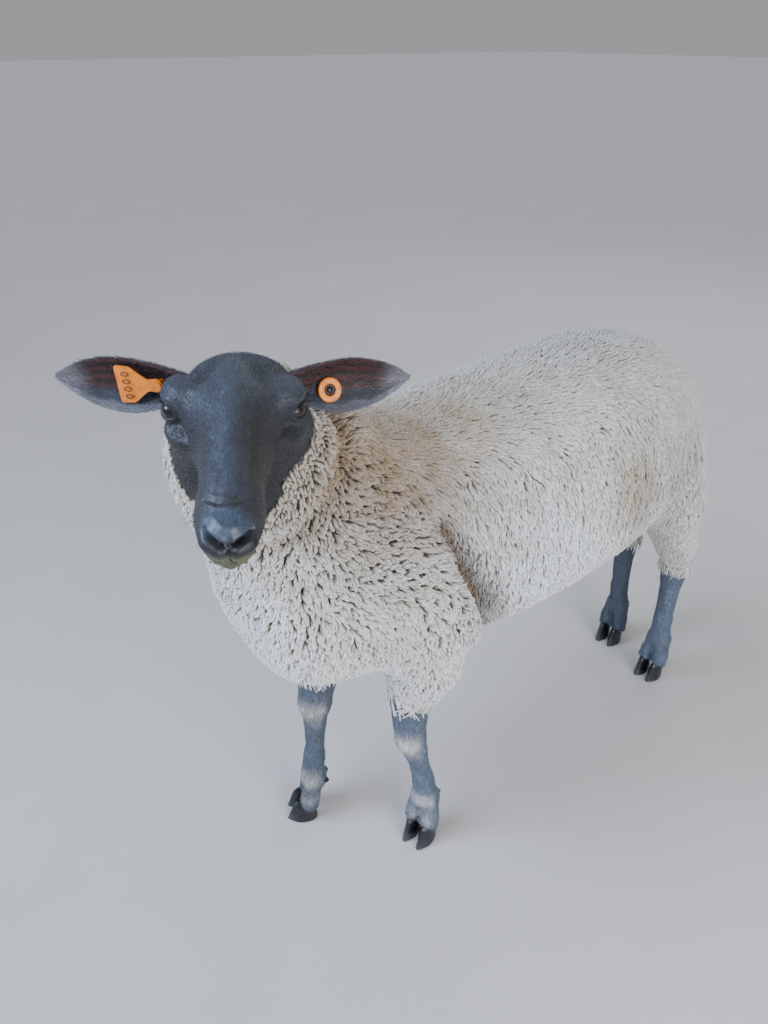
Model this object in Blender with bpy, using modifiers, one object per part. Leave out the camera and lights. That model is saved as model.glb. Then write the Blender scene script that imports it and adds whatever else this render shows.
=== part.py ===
"""Black-faced sheep in short wool, life size, standing still on its hooves.

Metres, +Z up. The sheep faces -Y, its left side is +X, and it stands on z = 0. The flesh is one
form, a smooth union of named masses (trunk, neck, head masses, limbs), which is blocked out from
primitives, voxel remeshed, settled onto the union and then parted with thin cuts. Ears, eyes,
claws, tail and ear tags are made on their own and fitted to it.
"""

import math

import bmesh
import bpy
import numpy as np
from mathutils import Matrix, Vector

# Driving sizes of the animal, in metres
FRONT_TOES_Y = -0.2444  # mean station of the front toe tips
MIDLINE_X = -0.0287  # of the trunk, as the head is turned to +X
GAP = 0.0003  # left between neighbours that touch
TRUNK_SQUARENESS = 2.3
END_ROUNDING = 2.5  # how soon the trunk closes past its last stations
NECK_FILLET, LEG_FILLET, HEAD_FILLET = 0.05, 0.035, 0.03
NECK_CUT_Z, NECK_CUT_TILT = 0.635, math.radians(33)  # where the neck parts from the trunk
HEAD_MARGIN = 0.009  # from the head's own form out to where it parts from the neck
WOOL_LINE = {"fore": 0.300, "hind": 0.258}  # the legs are bare below it
LEG_TOP = {"fore": 0.362, "hind": 0.392}  # the legs part from the trunk here

# Feet
FETLOCK_Z = 0.090
DIGIT_APART = 0.0125  # from the middle of the foot to the middle of a toe
CLAW_LENGTH = 0.049  # along the sole
CLAW_WIDTH = 0.0235
CROWN_LENGTH = 0.034  # of the claws' upper rim, where the skin begins
CROWN_BACK = 0.006  # from the middle of the sole to the middle of the crown
CROWN_FRONT, CROWN_HEEL = 0.038, 0.022  # heights of the crown
CROWN_SLOPE = math.atan2(CROWN_FRONT - CROWN_HEEL, CROWN_LENGTH)
DEWCLAW = (0.0056, 0.0028, 0.012)  # base and tip radius, length
DEWCLAW_AT = (0.0105, 0.0175, -0.010)  # from the fetlock: aside, back, up

# Eyes and ears, in the head's frame
EYEBALL = 0.0140  # radius
EYE_AT = (0.0525, -0.006, 0.006)
EAR_LENGTH, EAR_THICK = 0.138, 0.0035
EAR_BACK, EAR_DROP = math.radians(24), math.radians(1.5)
EAR_ROOT = (0.047, 0.032, 0.013)
EAR_SHARES = np.array([0.0, 0.12, 0.30, 0.50, 0.72, 0.90, 1.0])
EAR_HALF_WIDTH = np.array([0.022, 0.027, 0.032, 0.033, 0.026, 0.013, 0.002])  # round the curve
EAR_ARC = np.array([2.2, 1.7, 1.25, 1.0, 0.80, 0.60, 0.40])  # half the angle it curls through

# Ear tags
PIN, HOLE = 0.0048, 0.0062  # diameters
FLAG_AT, BUTTON_AT = (0.25, 0.08), (0.39, -0.25)  # where they pierce: share, across
FLAG_FACE = (0.0135, 0.0153)  # levels of the flag's panel in front of the ear's middle
BUTTON_FACE = (0.0066, 0.0090)
BACKING = (-0.0040, -0.0026)  # levels of the disc behind the ear
BOSS, FLAG_BACKING = 0.0110, 0.026  # diameters
BUTTON, BUTTON_WELL, BUTTON_BACKING = 0.0255, 0.0095, 0.018
# Half of the flag's outline, from its round neck to its far edge: x along the ear, half width
FLAG = [(-0.0065, 0.0022), (-0.0045, 0.0055), (0.0, 0.0070), (0.0055, 0.0060), (0.0095, 0.0062)]
FLAG += [(0.0150, 0.0100), (0.0240, 0.0172), (0.0270, 0.0186), (0.0395, 0.0196), (0.0415, 0.0178)]

# How finely the flesh is meshed
FLESH_TRIANGLES = 4000
BLOCKOUT_VOXEL = 0.007
BROAD_FACTOR = 0.1  # how much sooner the broad forms are thinned

# Colours (linear)
WOOL = (0.56, 0.47, 0.36)
FACE = (0.045, 0.05, 0.06)
LEG = (0.09, 0.10, 0.125)
HORN = (0.012, 0.014, 0.02)
EYE = (0.02, 0.012, 0.008)
TAG = (0.85, 0.27, 0.04)


# ---------------------------------------------------------------- the forms of the body
def ease(x, knots, values):
    """A smooth curve through values at knots: cubic Hermite with central slopes."""
    knots = np.asarray(knots, float)
    values = np.asarray(values, float)
    slopes = np.gradient(values, knots)
    x = np.clip(x, knots[0], knots[-1])
    i = np.clip(np.searchsorted(knots, x) - 1, 0, len(knots) - 2)
    span = knots[i + 1] - knots[i]
    t = (x - knots[i]) / span
    return (
        values[i] * (1 + 2 * t) * (1 - t) ** 2
        + values[i + 1] * t * t * (3 - 2 * t)
        + slopes[i] * span * t * (1 - t) ** 2
        - slopes[i + 1] * span * t * t * (1 - t)
    )


def blend(a, b, radius):
    """Smooth union of two distances, with a fillet of about that radius."""
    share = np.clip(0.5 + 0.5 * (b - a) / radius, 0, 1)
    return b + (a - b) * share - radius * share * (1 - share)


def ball(points, centre, radii):
    """Near distance to an ellipsoid."""
    local = (points - np.array(centre)) / np.array(radii)
    size = np.linalg.norm(local, axis=1) + 1e-9
    return size * (size - 1) / (np.linalg.norm(local / np.array(radii), axis=1) + 1e-9)


def rod(points, start, end):
    """Distance to a round-ended tapering rod. Each end is (x, y, z, radius)."""
    start, end = np.array(start, float), np.array(end, float)
    along = end[:3] - start[:3]
    offset = points - start[:3]
    t = np.clip(offset @ along / (along @ along), 0, 1)
    return (
        np.linalg.norm(offset - t[:, None] * along, axis=1)
        - start[3]
        - (end[3] - start[3]) * t
    )


# The trunk with its coat: station from the front toes, top line, underline, half width.
TRUNK = np.array(
    [
        (-0.150, 0.600, 0.520, 0.040),
        (-0.133, 0.632, 0.462, 0.084),
        (-0.090, 0.675, 0.412, 0.118),
        (-0.010, 0.703, 0.394, 0.138),
        (0.105, 0.712, 0.388, 0.153),
        (0.225, 0.716, 0.385, 0.162),
        (0.350, 0.726, 0.388, 0.161),
        (0.455, 0.731, 0.396, 0.149),
        (0.550, 0.712, 0.411, 0.117),
        (0.622, 0.660, 0.436, 0.082),
        (0.666, 0.570, 0.505, 0.034),
    ]
)


def trunk(points):
    """Superellipse sections along Y."""
    y = points[:, 1] - FRONT_TOES_Y
    top, under, half = (ease(y, TRUNK[:, 0], TRUNK[:, c]) for c in (1, 2, 3))
    rise = (top - under) / 2
    across = np.abs(points[:, 0]) / half
    upright = np.abs(points[:, 2] - (top + under) / 2) / rise
    size = (across**TRUNK_SQUARENESS + upright**TRUNK_SQUARENESS) ** (
        1 / TRUNK_SQUARENESS
    )
    past = np.maximum(np.maximum(TRUNK[0, 0] - y, y - TRUNK[-1, 0]), 0)
    return (size - 1) * np.minimum(half, rise) + END_ROUNDING * past


NECK = [  # x, y from the front toes, z, radius
    (0.000, 0.010, 0.590, 0.128),
    (0.000, -0.060, 0.660, 0.112),
    (0.004, -0.088, 0.708, 0.098),
    (0.010, -0.107, 0.742, 0.076),
]

# How each leg stands: side, then (x, y) of its toe tips, fetlock, knee or hock, and top.
STANCE = {
    "fore_left": (1, (0.087, 0.060), (0.075, 0.097), (0.064, 0.071), (0.092, 0.080)),
    "fore_right": (-1, (-0.084, -0.064), (-0.062, -0.024), (-0.076, 0.002), (-0.092, 0.045)),
    "hind_left": (1, (0.066, 0.660), (0.062, 0.700), (0.050, 0.712), (0.072, 0.596)),
    "hind_right": (-1, (-0.048, 0.680), (-0.056, 0.720), (-0.066, 0.716), (-0.072, 0.596)),
}
# Down a leg: share of the way from its knee or hock to its top (or to its fetlock, if below 0),
# height, radius and how far the joint sits back of that line.
FORE_LIMB = [
    (1.00, 0.480, 0.062, -0.014),
    (0.60, 0.385, 0.053, 0.002),
    (0.20, 0.315, 0.035, -0.004),
    (0.00, 0.262, 0.0270, 0.000),
    (-0.15, 0.228, 0.0255, -0.003),
    (-0.40, 0.190, 0.0165, 0.000),
    (-0.80, 0.125, 0.0158, 0.002),
    (-1.00, FETLOCK_Z, 0.0205, 0.000),
]
HIND_LIMB = [
    (1.00, 0.540, 0.060, -0.036),
    (0.70, 0.430, 0.056, -0.010),
    (0.15, 0.315, 0.036, -0.004),
    (0.00, 0.262, 0.0265, 0.004),
    (-0.20, 0.225, 0.0200, 0.002),
    (-0.70, 0.130, 0.0165, 0.000),
    (-1.00, FETLOCK_Z, 0.0205, 0.000),
]


def limb(name):
    """Joints of a leg from the top down, as (x, y, z, radius)."""
    _, _, fetlock, knee, top = STANCE[name]
    joints = []
    for share, z, radius, back in FORE_LIMB if "fore" in name else HIND_LIMB:
        far = top if share > 0 else fetlock
        x, y = (k + (f - k) * abs(share) for k, f in zip(knee, far))
        joints.append((x, y + back + FRONT_TOES_Y, z, radius))
    return joints


def digits(name):
    """The two toes of a leg, from the fetlock down to the crown of the claws."""
    _, toe, fetlock, _, _ = STANCE[name]
    rake = np.array(toe) - np.array(fetlock)
    across = np.array((rake[1], -rake[0])) / np.linalg.norm(rake)
    toes = []
    for s in (-1, 1):
        toes.append([])
        for down, z, radius, apart in (
            (0.00, 0.086, 0.0175, 0.006),
            (0.12, 0.054, 0.0150, DIGIT_APART),
            (0.20, 0.030, 0.0165, DIGIT_APART),
        ):
            x, y = np.array(fetlock) + rake * down + across * s * apart
            toes[-1].append((x, y + FRONT_TOES_Y, z, radius))
    return toes


LEGS = {name: limb(name) for name in STANCE}

# The docked tail hangs against the rump: (x, y from the front toes, z, radius).
TAIL = [(0, 0.632, 0.632, 0.018), (0, 0.655, 0.580, 0.022), (0, 0.678, 0.510, 0.019)]

# The head has its own frame, midway between the eyes: X left, -Y to the muzzle, Z up.
HEAD_AT = (0.058, FRONT_TOES_Y - 0.143, 0.797)
HEAD_YAW, HEAD_PITCH, HEAD_ROLL = math.radians(61), math.radians(-3.5), math.radians(3)
HEAD = (
    Matrix.Translation(HEAD_AT)
    @ Matrix.Rotation(HEAD_YAW, 4, "Z")
    @ Matrix.Rotation(HEAD_PITCH, 4, "X")
    @ Matrix.Rotation(HEAD_ROLL, 4, "Y")
)

# Masses of the head: name, centre and radii of a ball, fillet. Those off the middle are doubled.
HEAD_BALLS = [
    ("cranium", (0, 0.044, -0.004), (0.049, 0.050, 0.042), 0.030),
    ("forehead", (0, 0.000, 0.008), (0.049, 0.056, 0.034), 0.030),
    ("brow", (0.045, -0.002, 0.021), (0.021, 0.027, 0.018), 0.014),
    ("cheekbone", (0.047, -0.002, -0.014), (0.019, 0.034, 0.016), 0.014),
    ("jaw_muscle", (0.033, 0.024, -0.042), (0.023, 0.040, 0.040), 0.022),
    ("jaw_angle", (0.026, 0.032, -0.070), (0.017, 0.030, 0.024), 0.022),
    ("muzzle", (0, -0.142, -0.032), (0.0275, 0.031, 0.024), 0.016),
    ("lip", (0.012, -0.157, -0.046), (0.0150, 0.020, 0.0125), 0.008),
    ("nose", (0, -0.166, -0.028), (0.019, 0.013, 0.014), 0.010),
    ("chin", (0, -0.140, -0.062), (0.016, 0.022, 0.010), 0.008),
]
# Tapering rods of the head: name, the two ends as (x, y, z, radius), fillet
HEAD_RODS = [
    ("nasal_bridge", (0, -0.030, 0.016, 0.028), (0, -0.125, -0.018, 0.020), 0.018),
    ("face", (0, 0.000, -0.022, 0.042), (0, -0.115, -0.036, 0.024), 0.020),
    ("jaw", (0.014, 0.020, -0.078, 0.020), (0.006, -0.120, -0.060, 0.013), 0.018),
]
# Hollows sunk in the head: name, centre, radii, fillet
HEAD_HOLLOWS = [
    ("tear_pit", (0.057, -0.036, -0.004), (0.010, 0.019, 0.010), 0.012),
    ("cheek", (0.047, -0.078, -0.034), (0.013, 0.034, 0.014), 0.016),
]
EAR_HOLLOW = ((0.100, 0.056, 0.004), (0.060, 0.036, 0.036))  # sunk in the neck below each ear


def head_forms(points):
    """The head's smooth union, in its own frame. The X of a side mass is mirrored."""
    mirrored = np.column_stack((np.abs(points[:, 0]), points[:, 1:]))
    whole = ball(mirrored, *HEAD_BALLS[0][1:3])
    for _, centre, radii, fillet in HEAD_BALLS[1:]:
        whole = blend(ball(mirrored, centre, radii), whole, fillet)
    for _, start, end, fillet in HEAD_RODS:
        whole = blend(rod(mirrored, start, end), whole, fillet)
    for _, centre, radii, fillet in HEAD_HOLLOWS:
        whole = -blend(ball(mirrored, centre, radii), -whole, fillet)
    return whole


def body_form(points):
    """The animal's whole surface as one smooth union: negative inside, metres."""
    whole = trunk(points)
    neck = np.full(len(points), 1.0)
    for start, end in zip(NECK, NECK[1:]):
        neck = blend(rod(points, *map(from_toes, (start, end))), neck, 0.02)
    whole = blend(neck, whole, NECK_FILLET)
    for name, leg in LEGS.items():
        form = np.full(len(points), 1.0)
        for start, end in zip(leg, leg[1:]):
            form = blend(rod(points, start, end), form, 0.010)
        for digit in digits(name):
            for start, end in zip(digit, digit[1:]):
                form = blend(rod(points, start, end), form, 0.006)
        whole = blend(form, whole, LEG_FILLET)
    to_head = np.array(HEAD.inverted())
    local = points @ to_head[:3, :3].T + to_head[:3, 3]
    mirrored = np.column_stack((np.abs(local[:, 0]), local[:, 1:]))
    whole = -blend(ball(mirrored, *EAR_HOLLOW), -whole, 0.02)
    return blend(head_forms(local), whole, HEAD_FILLET)


def from_toes(joint):
    """A joint whose Y is counted from the front toes, in the model's frame."""
    x, y, z, radius = joint
    return (x, y + FRONT_TOES_Y, z, radius)


# ---------------------------------------------------------------- mesh helpers
def collection(name):
    made = bpy.data.collections.new(name)
    bpy.context.scene.collection.children.link(made)
    return made


def material(name, colour, roughness):
    made = bpy.data.materials.new(name)
    made.use_nodes = True
    shader = made.node_tree.nodes["Principled BSDF"]
    shader.inputs["Base Color"].default_value = (*colour, 1)
    shader.inputs["Roughness"].default_value = roughness
    return made


def add_guide(name, mesh):
    """A cutter or a working shape: kept out of the render."""
    made = bpy.data.objects.new(name, mesh)
    bpy.data.collections["guides"].objects.link(made)
    made.hide_render = True
    made.display_type = "WIRE"
    return made


def add_part(name, mesh, finish):
    """A finished piece of the animal, shaded smooth and parented to the midline."""
    made = bpy.data.objects.new(name, mesh)
    made.parent = bpy.data.objects["midline"]
    bpy.data.collections["sheep"].objects.link(made)
    mesh.name = name
    mesh.materials.clear()
    mesh.materials.append(finish)
    mesh.shade_smooth()
    mesh.set_sharp_from_angle(angle=math.radians(40))
    return made


def mesh_of(bm, name):
    mesh = bpy.data.meshes.new(name)
    bmesh.ops.recalc_face_normals(bm, faces=bm.faces)
    bm.to_mesh(mesh)
    bm.free()
    return mesh


def evaluated(obj):
    """The object's mesh with its modifiers applied, as a new mesh."""
    bpy.context.view_layer.update()
    graph = bpy.context.evaluated_depsgraph_get()
    return bpy.data.meshes.new_from_object(obj.evaluated_get(graph))


def boolean(mesh, cutter, operation):
    """The mesh cut or kept by a cutter's mesh."""
    block = add_guide("work", mesh)
    tool = add_guide("tool", cutter)
    cut = block.modifiers.new("cut", "BOOLEAN")
    cut.operation = operation
    cut.object = tool
    result = evaluated(block)
    bpy.data.objects.remove(block)
    bpy.data.objects.remove(tool)
    return result


def welded(mesh, distance=0.00005):
    """Short edges and slivers that a cut leaves are merged away."""
    bm = bmesh.new()
    bm.from_mesh(mesh)
    bmesh.ops.remove_doubles(bm, verts=bm.verts, dist=distance)
    bmesh.ops.dissolve_degenerate(bm, edges=bm.edges, dist=distance / 2)
    bmesh.ops.triangulate(bm, faces=bm.faces)
    bm.to_mesh(mesh)
    bm.free()
    return mesh


def coordinates(mesh):
    flat = np.empty(len(mesh.vertices) * 3, np.float32)
    mesh.vertices.foreach_get("co", flat)
    return flat.reshape(-1, 3).astype(float)


def place(mesh, points):
    mesh.vertices.foreach_set("co", points.astype(np.float32).ravel())
    mesh.update()


def grown(mesh, by):
    """A copy of the mesh moved outwards along its normals."""
    copy = mesh.copy()
    normals = np.array([v.normal[:] for v in mesh.vertices])
    place(copy, coordinates(mesh) + normals * by)
    return copy


def settle(points, form, rounds=5, step=0.0004):
    """Moves points along the form's slope onto its surface."""
    for _ in range(rounds):
        here = form(points)
        slope = np.stack(
            [(form(points + d) - form(points - d)) / (2 * step) for d in np.eye(3) * step],
            axis=1,
        )
        steep = np.maximum((slope**2).sum(1), 0.05)
        points = points - slope * np.clip(here / steep, -0.02, 0.02)[:, None]
    return points


def add_ball(bm, centre, radii, matrix=None):
    shape = Matrix.Translation(centre) @ Matrix.Diagonal((*radii, 1))
    bmesh.ops.create_icosphere(
        bm, subdivisions=3, radius=1, matrix=(matrix or Matrix()) @ shape
    )


def add_rod(bm, start, end, matrix=None):
    """A cone with a ball at each end. Each end is (x, y, z, radius)."""
    matrix = matrix or Matrix()
    a, b = matrix @ Vector(start[:3]), matrix @ Vector(end[:3])
    for point, radius in ((a, start[3]), (b, end[3])):
        bmesh.ops.create_icosphere(
            bm, subdivisions=2, radius=radius, matrix=Matrix.Translation(point)
        )
    turn = (b - a).to_track_quat("Z", "Y").to_matrix().to_4x4()
    bmesh.ops.create_cone(
        bm,
        cap_ends=True,
        segments=20,
        radius1=start[3],
        radius2=end[3],
        depth=(b - a).length,
        matrix=Matrix.Translation((a + b) / 2) @ turn,
    )


def modelled(name, primitives, form, voxel, triangles, broad=None):
    """Primitives welded by a voxel remesh, settled on a form and thinned out.

    Where the broad function is high, the mesh is thinned first.
    """
    clay = add_guide(name + "_blockout", primitives)
    weld = clay.modifiers.new("weld", "REMESH")
    weld.mode = "VOXEL"
    weld.voxel_size = voxel
    mesh = evaluated(clay)
    place(mesh, settle(coordinates(mesh), form))
    fine = add_guide(name + "_fine", mesh)
    mesh.calc_loop_triangles()
    thin = fine.modifiers.new("thin", "DECIMATE")
    thin.ratio = triangles / len(mesh.loop_triangles)
    if broad:
        group = fine.vertex_groups.new(name="broad")
        for index, weight in enumerate(broad(coordinates(mesh))):
            group.add([index], float(weight), "REPLACE")
        thin.vertex_group = group.name
        thin.vertex_group_factor = BROAD_FACTOR
    return evaluated(fine)


# ---------------------------------------------------------------- flesh
def head_primitives(bm):
    for _, (x, y, z), radii, _ in HEAD_BALLS:
        for side in {1, -1 if x else 1}:
            add_ball(bm, (side * x, y, z), radii, HEAD)
    for _, start, end, _ in HEAD_RODS:
        for side in {1, -1 if start[0] else 1}:
            ends = [(side * x, y, z, radius) for x, y, z, radius in (start, end)]
            add_rod(bm, *ends, HEAD)


def blocked_out():
    """Every mass of the body as a primitive, in one mesh of overlapping shapes."""
    bm = bmesh.new()
    for (y0, *a), (y1, *b) in zip(TRUNK, TRUNK[1:]):
        for share in (0, 0.5):
            top, under, half = (np.array(a) * (1 - share) + np.array(b) * share).tolist()
            y = y0 * (1 - share) + y1 * share + FRONT_TOES_Y
            add_ball(bm, (0, y, (top + under) / 2), (half, 0.07, (top - under) / 2))
    for start, end in zip(NECK, NECK[1:]):
        add_rod(bm, from_toes(start), from_toes(end))
    for name, leg in LEGS.items():
        for start, end in zip(leg, leg[1:]):
            add_rod(bm, start, end)
        for digit in digits(name):
            for start, end in zip(digit, digit[1:]):
                add_rod(bm, start, end)
    head_primitives(bm)
    return mesh_of(bm, "blockout")


def thinning(points):
    """How readily the flesh is thinned: the broad trunk most, the legs and the head less."""
    head = jacket_form(points) < HEAD_MARGIN
    legs = points[:, 2] < min(WOOL_LINE.values())
    return np.where(head, 0.92, np.where(legs, 0.95, 1.0))


def head_jacket():
    """The head alone, a little larger all round: it parts the head from the neck."""
    bm = bmesh.new()
    head_primitives(bm)
    return modelled("head_jacket", mesh_of(bm, "jacket"), jacket_form, 0.008, 800)


def jacket_form(points):
    to_head = np.array(HEAD.inverted())
    return head_forms(points @ to_head[:3, :3].T + to_head[:3, 3]) - HEAD_MARGIN


def box(low, high, matrix=None):
    """A box from corner to corner, as a mesh."""
    bm = bmesh.new()
    low, high = Vector(low), Vector(high)
    shape = Matrix.Translation((low + high) / 2) @ Matrix.Diagonal((*(high - low), 1))
    bmesh.ops.create_cube(bm, size=1, matrix=(matrix or Matrix()) @ shape)
    return mesh_of(bm, "box")


def foot(name):
    """The frame of a foot on the ground: origin amid its claws, Y to the heel."""
    _, toe, fetlock, _, _ = STANCE[name]
    rake = Vector((*toe, 0)) - Vector((*fetlock, 0))
    tip = Vector((toe[0], toe[1] + FRONT_TOES_Y, 0))
    turn = Matrix.Rotation(math.atan2(rake.x, -rake.y), 4, "Z")
    return Matrix.Translation(tip - rake.normalized() * CLAW_LENGTH / 2) @ turn


def crown_plane(name):
    """The frame of the plane where the claws of a foot begin."""
    middle = Matrix.Translation((0, CROWN_BACK, (CROWN_FRONT + CROWN_HEEL) / 2))
    return foot(name) @ middle @ Matrix.Rotation(-CROWN_SLOPE, 4, "X")


def part_boxes():
    """Node name, the frame of its box, and the box's low and high corners."""
    neck = Matrix.Translation((0, FRONT_TOES_Y - 0.045, NECK_CUT_Z))
    neck = neck @ Matrix.Rotation(NECK_CUT_TILT, 4, "X")
    boxes = [("neck", neck, (-0.3, -0.3, 0.0), (0.3, 0.3, 0.4))]
    for name, (side, *_) in STANCE.items():
        limb_name, which = name.split("_")
        near, far = sorted((side * 0.002, side * 0.3))
        front, back = (-0.5, 0.1) if limb_name == "fore" else (0.25, 0.7)
        level, top = WOOL_LINE[limb_name], LEG_TOP[limb_name]
        low, high = (near, front, -0.1), (far, back, level)
        boxes.append((f"{limb_name}_shank_{which}", Matrix(), low, high))
        low, high = (near, front, level), (far, back, top)
        boxes.append((f"{limb_name}_leg_{which}", Matrix(), low, high))
    return boxes


def parted(flesh):
    """The flesh cut into named meshes, with GAP left at each cut."""
    jacket = head_jacket()
    pieces = {"head": boolean(flesh.copy(), jacket.copy(), "INTERSECT")}
    flesh = boolean(flesh, grown(jacket, 2 * GAP), "DIFFERENCE")
    for name, frame, low, high in part_boxes():
        pieces[name] = boolean(flesh.copy(), box(low, high, frame), "INTERSECT")
        low, high = (np.array(low) - GAP, np.array(high) + GAP)
        flesh = boolean(flesh, box(low, high, frame), "DIFFERENCE")
    pieces["trunk"] = flesh
    return pieces


def make_flesh(finishes):
    """Trunk, neck, head and legs as named parts, and the undivided whole they are cut from."""
    flesh = modelled(
        "flesh", blocked_out(), body_form, BLOCKOUT_VOXEL, FLESH_TRIANGLES, thinning
    )
    for name in STANCE:
        below = box((-0.06, -0.06, -0.08), (0.06, 0.06, GAP), crown_plane(name))
        flesh = boolean(flesh, below, "DIFFERENCE")
    pieces = parted(flesh.copy())
    for side in (1, -1):
        pieces["head"] = boolean(pieces["head"], eyeball(side, GAP), "DIFFERENCE")
    for name, mesh in pieces.items():
        coat = "leg" if "shank" in name else "face" if name == "head" else "wool"
        add_part(name, welded(mesh), finishes[coat])
    return flesh


def eyeball(side, extra=0):
    bm = bmesh.new()
    x, y, z = EYE_AT
    bmesh.ops.create_uvsphere(
        bm,
        u_segments=14,
        v_segments=9,
        radius=EYEBALL + extra,
        matrix=HEAD @ Matrix.Translation((side * x, y, z)),
    )
    return mesh_of(bm, "eye")


# ---------------------------------------------------------------- tail
def tail_form(points):
    first, middle, last = map(from_toes, TAIL)
    return blend(rod(points, first, middle), rod(points, middle, last), 0.02)


def make_tail(flesh, finish):
    bm = bmesh.new()
    for start, end in zip(TAIL, TAIL[1:]):
        add_rod(bm, from_toes(start), from_toes(end))
    tail = modelled("tail", mesh_of(bm, "tail"), tail_form, 0.007, 260)
    tail = boolean(tail, grown(flesh, GAP), "DIFFERENCE")
    add_part("tail", welded(tail), finish)


# ---------------------------------------------------------------- claws and dewclaws
def claw_section(rise, side, count=14):
    """An outline of a claw: pointed ahead, flatter on its inner side, rise 0 sole to 1 crown."""
    length = CLAW_LENGTH + (CROWN_LENGTH - CLAW_LENGTH) * rise
    width = CLAW_WIDTH * (1.06 - 0.12 * rise)
    ring = []
    for k in range(count):
        angle = 2 * math.pi * k / count
        across, along = math.sin(angle), math.cos(angle)
        taper = 1 - 0.38 * max(-along, 0) ** 1.5
        inner = 0.80 if across * side < 0 else 1.0
        x = side * DIGIT_APART + across * inner * taper * width / 2
        y = along * length / 2 + CROWN_BACK * rise
        level = (CROWN_FRONT + CROWN_HEEL) / 2 - (y - CROWN_BACK) * math.tan(CROWN_SLOPE)
        ring.append((x, y, rise * (level - GAP)))
    return ring


def claw(side):
    """One claw in its foot's frame: a loft from the flat sole to the slanting crown."""
    bm = bmesh.new()
    rings = [
        [bm.verts.new(point) for point in claw_section(rise, side)]
        for rise in (0, 0.35, 1)
    ]
    for low, high in zip(rings, rings[1:]):
        for k in range(len(low)):
            after = (k + 1) % len(low)
            bm.faces.new((low[k], low[after], high[after], high[k]))
    bm.faces.new(rings[0][::-1])
    bm.faces.new(rings[-1])
    return mesh_of(bm, "claw")


def make_feet(flesh, finish):
    for name in STANCE:
        fetlock = Matrix.Translation(LEGS[name][-1][:3])
        turn = foot(name).to_euler().to_matrix().to_4x4()
        for side, place_name in ((1, "outer"), (-1, "inner")):
            side *= STANCE[name][0]
            made = claw(side)
            made.transform(foot(name))
            add_part(f"claw_{name}_{place_name}", made, finish)
            bm = bmesh.new()
            x, y, z = DEWCLAW_AT
            lean = Matrix.Rotation(math.radians(145), 4, "X")
            bmesh.ops.create_cone(
                bm,
                cap_ends=True,
                segments=9,
                radius1=DEWCLAW[0],
                radius2=DEWCLAW[1],
                depth=DEWCLAW[2],
                matrix=fetlock @ turn @ Matrix.Translation((side * x, y, z)) @ lean,
            )
            horn = mesh_of(bm, "dewclaw")
            horn = boolean(horn, grown(flesh, GAP), "DIFFERENCE")
            add_part(f"dewclaw_{name}_{place_name}", welded(horn), finish)


# ---------------------------------------------------------------- ears
def ear_frame(side):
    """X out along the ear, Y behind it, Z up across it."""
    out = Vector((side, 0, 0))
    out.rotate(Matrix.Rotation(side * EAR_BACK, 3, "Z"))
    out.z = -math.tan(EAR_DROP)
    out.normalize()
    up = (Vector((0, 0, 1)) - out * out.z).normalized()
    back = up.cross(out) * side
    frame = Matrix((out, back, up)).transposed().to_4x4()
    x, y, z = EAR_ROOT
    return HEAD @ Matrix.Translation((side * x, y, z)) @ frame


def ear_point(side, share, across):
    """A point of the ear's middle surface: share along it from the root, across from -1 to 1.

    The ear is a strip rolled about its length, with its hollow to the front: at the root it
    closes to a tube, towards the tip it opens flat. share also bends it slightly forward.
    """
    arc = float(ease(share, EAR_SHARES, EAR_ARC))
    radius = float(ease(share, EAR_SHARES, EAR_HALF_WIDTH)) / arc
    angle = arc * across
    local = Vector(
        (
            share * EAR_LENGTH,
            radius * (math.cos(angle) - math.cos(arc)) - 0.010 * share**2,
            radius * math.sin(angle) - 0.004 * math.sin(math.pi * share),
        )
    )
    return ear_frame(side) @ local


def ear_normal(side, share, across, step=0.01):
    """Out of the back of the ear."""
    along = ear_point(side, share + step, across) - ear_point(side, share - step, across)
    over = ear_point(side, share, across + step) - ear_point(side, share, across - step)
    return (over.cross(along) * side).normalized()


def make_ear(side, which, flesh, finish, lengths=10, widths=8):
    """A grid on the ear's middle surface, thickened, cut to the flesh and pierced."""
    bm = bmesh.new()
    grid = [
        [
            bm.verts.new(ear_point(side, i / (lengths - 1), 2 * j / (widths - 1) - 1))
            for j in range(widths)
        ]
        for i in range(lengths)
    ]
    for row, after in zip(grid, grid[1:]):
        for j in range(widths - 1):
            bm.faces.new((row[j], row[j + 1], after[j + 1], after[j]))
    sheet = add_guide("ear_sheet", mesh_of(bm, "ear"))
    thick = sheet.modifiers.new("thickness", "SOLIDIFY")
    thick.thickness = EAR_THICK
    thick.offset = 0
    ear = evaluated(sheet)
    for cutter in (grown(flesh, GAP), tag_hole(side)):
        ear = boolean(ear, cutter, "DIFFERENCE")
    add_part("ear_" + which, welded(ear), finish)


# ---------------------------------------------------------------- ear tags
def tag_frame(side, share, across):
    """The frame of a tag at its hole: Z out of the front of the ear, X towards the ear's tip."""
    at = ear_point(side, share, across)
    front = -ear_normal(side, share, across)
    along = ear_point(side, share + 0.01, across) - at
    along = (along - front * along.dot(front)).normalized()
    turn = Matrix((along, front.cross(along), front)).transposed().to_4x4()
    return Matrix.Translation(at) @ turn


def drum(frame, diameter, low, high, segments=18):
    """A disc or a pin between two levels on the frame's Z."""
    bm = bmesh.new()
    bmesh.ops.create_cone(
        bm,
        cap_ends=True,
        segments=segments,
        radius1=diameter / 2,
        radius2=diameter / 2,
        depth=high - low,
        matrix=frame @ Matrix.Translation((0, 0, (low + high) / 2)),
    )
    return mesh_of(bm, "drum")


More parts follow.
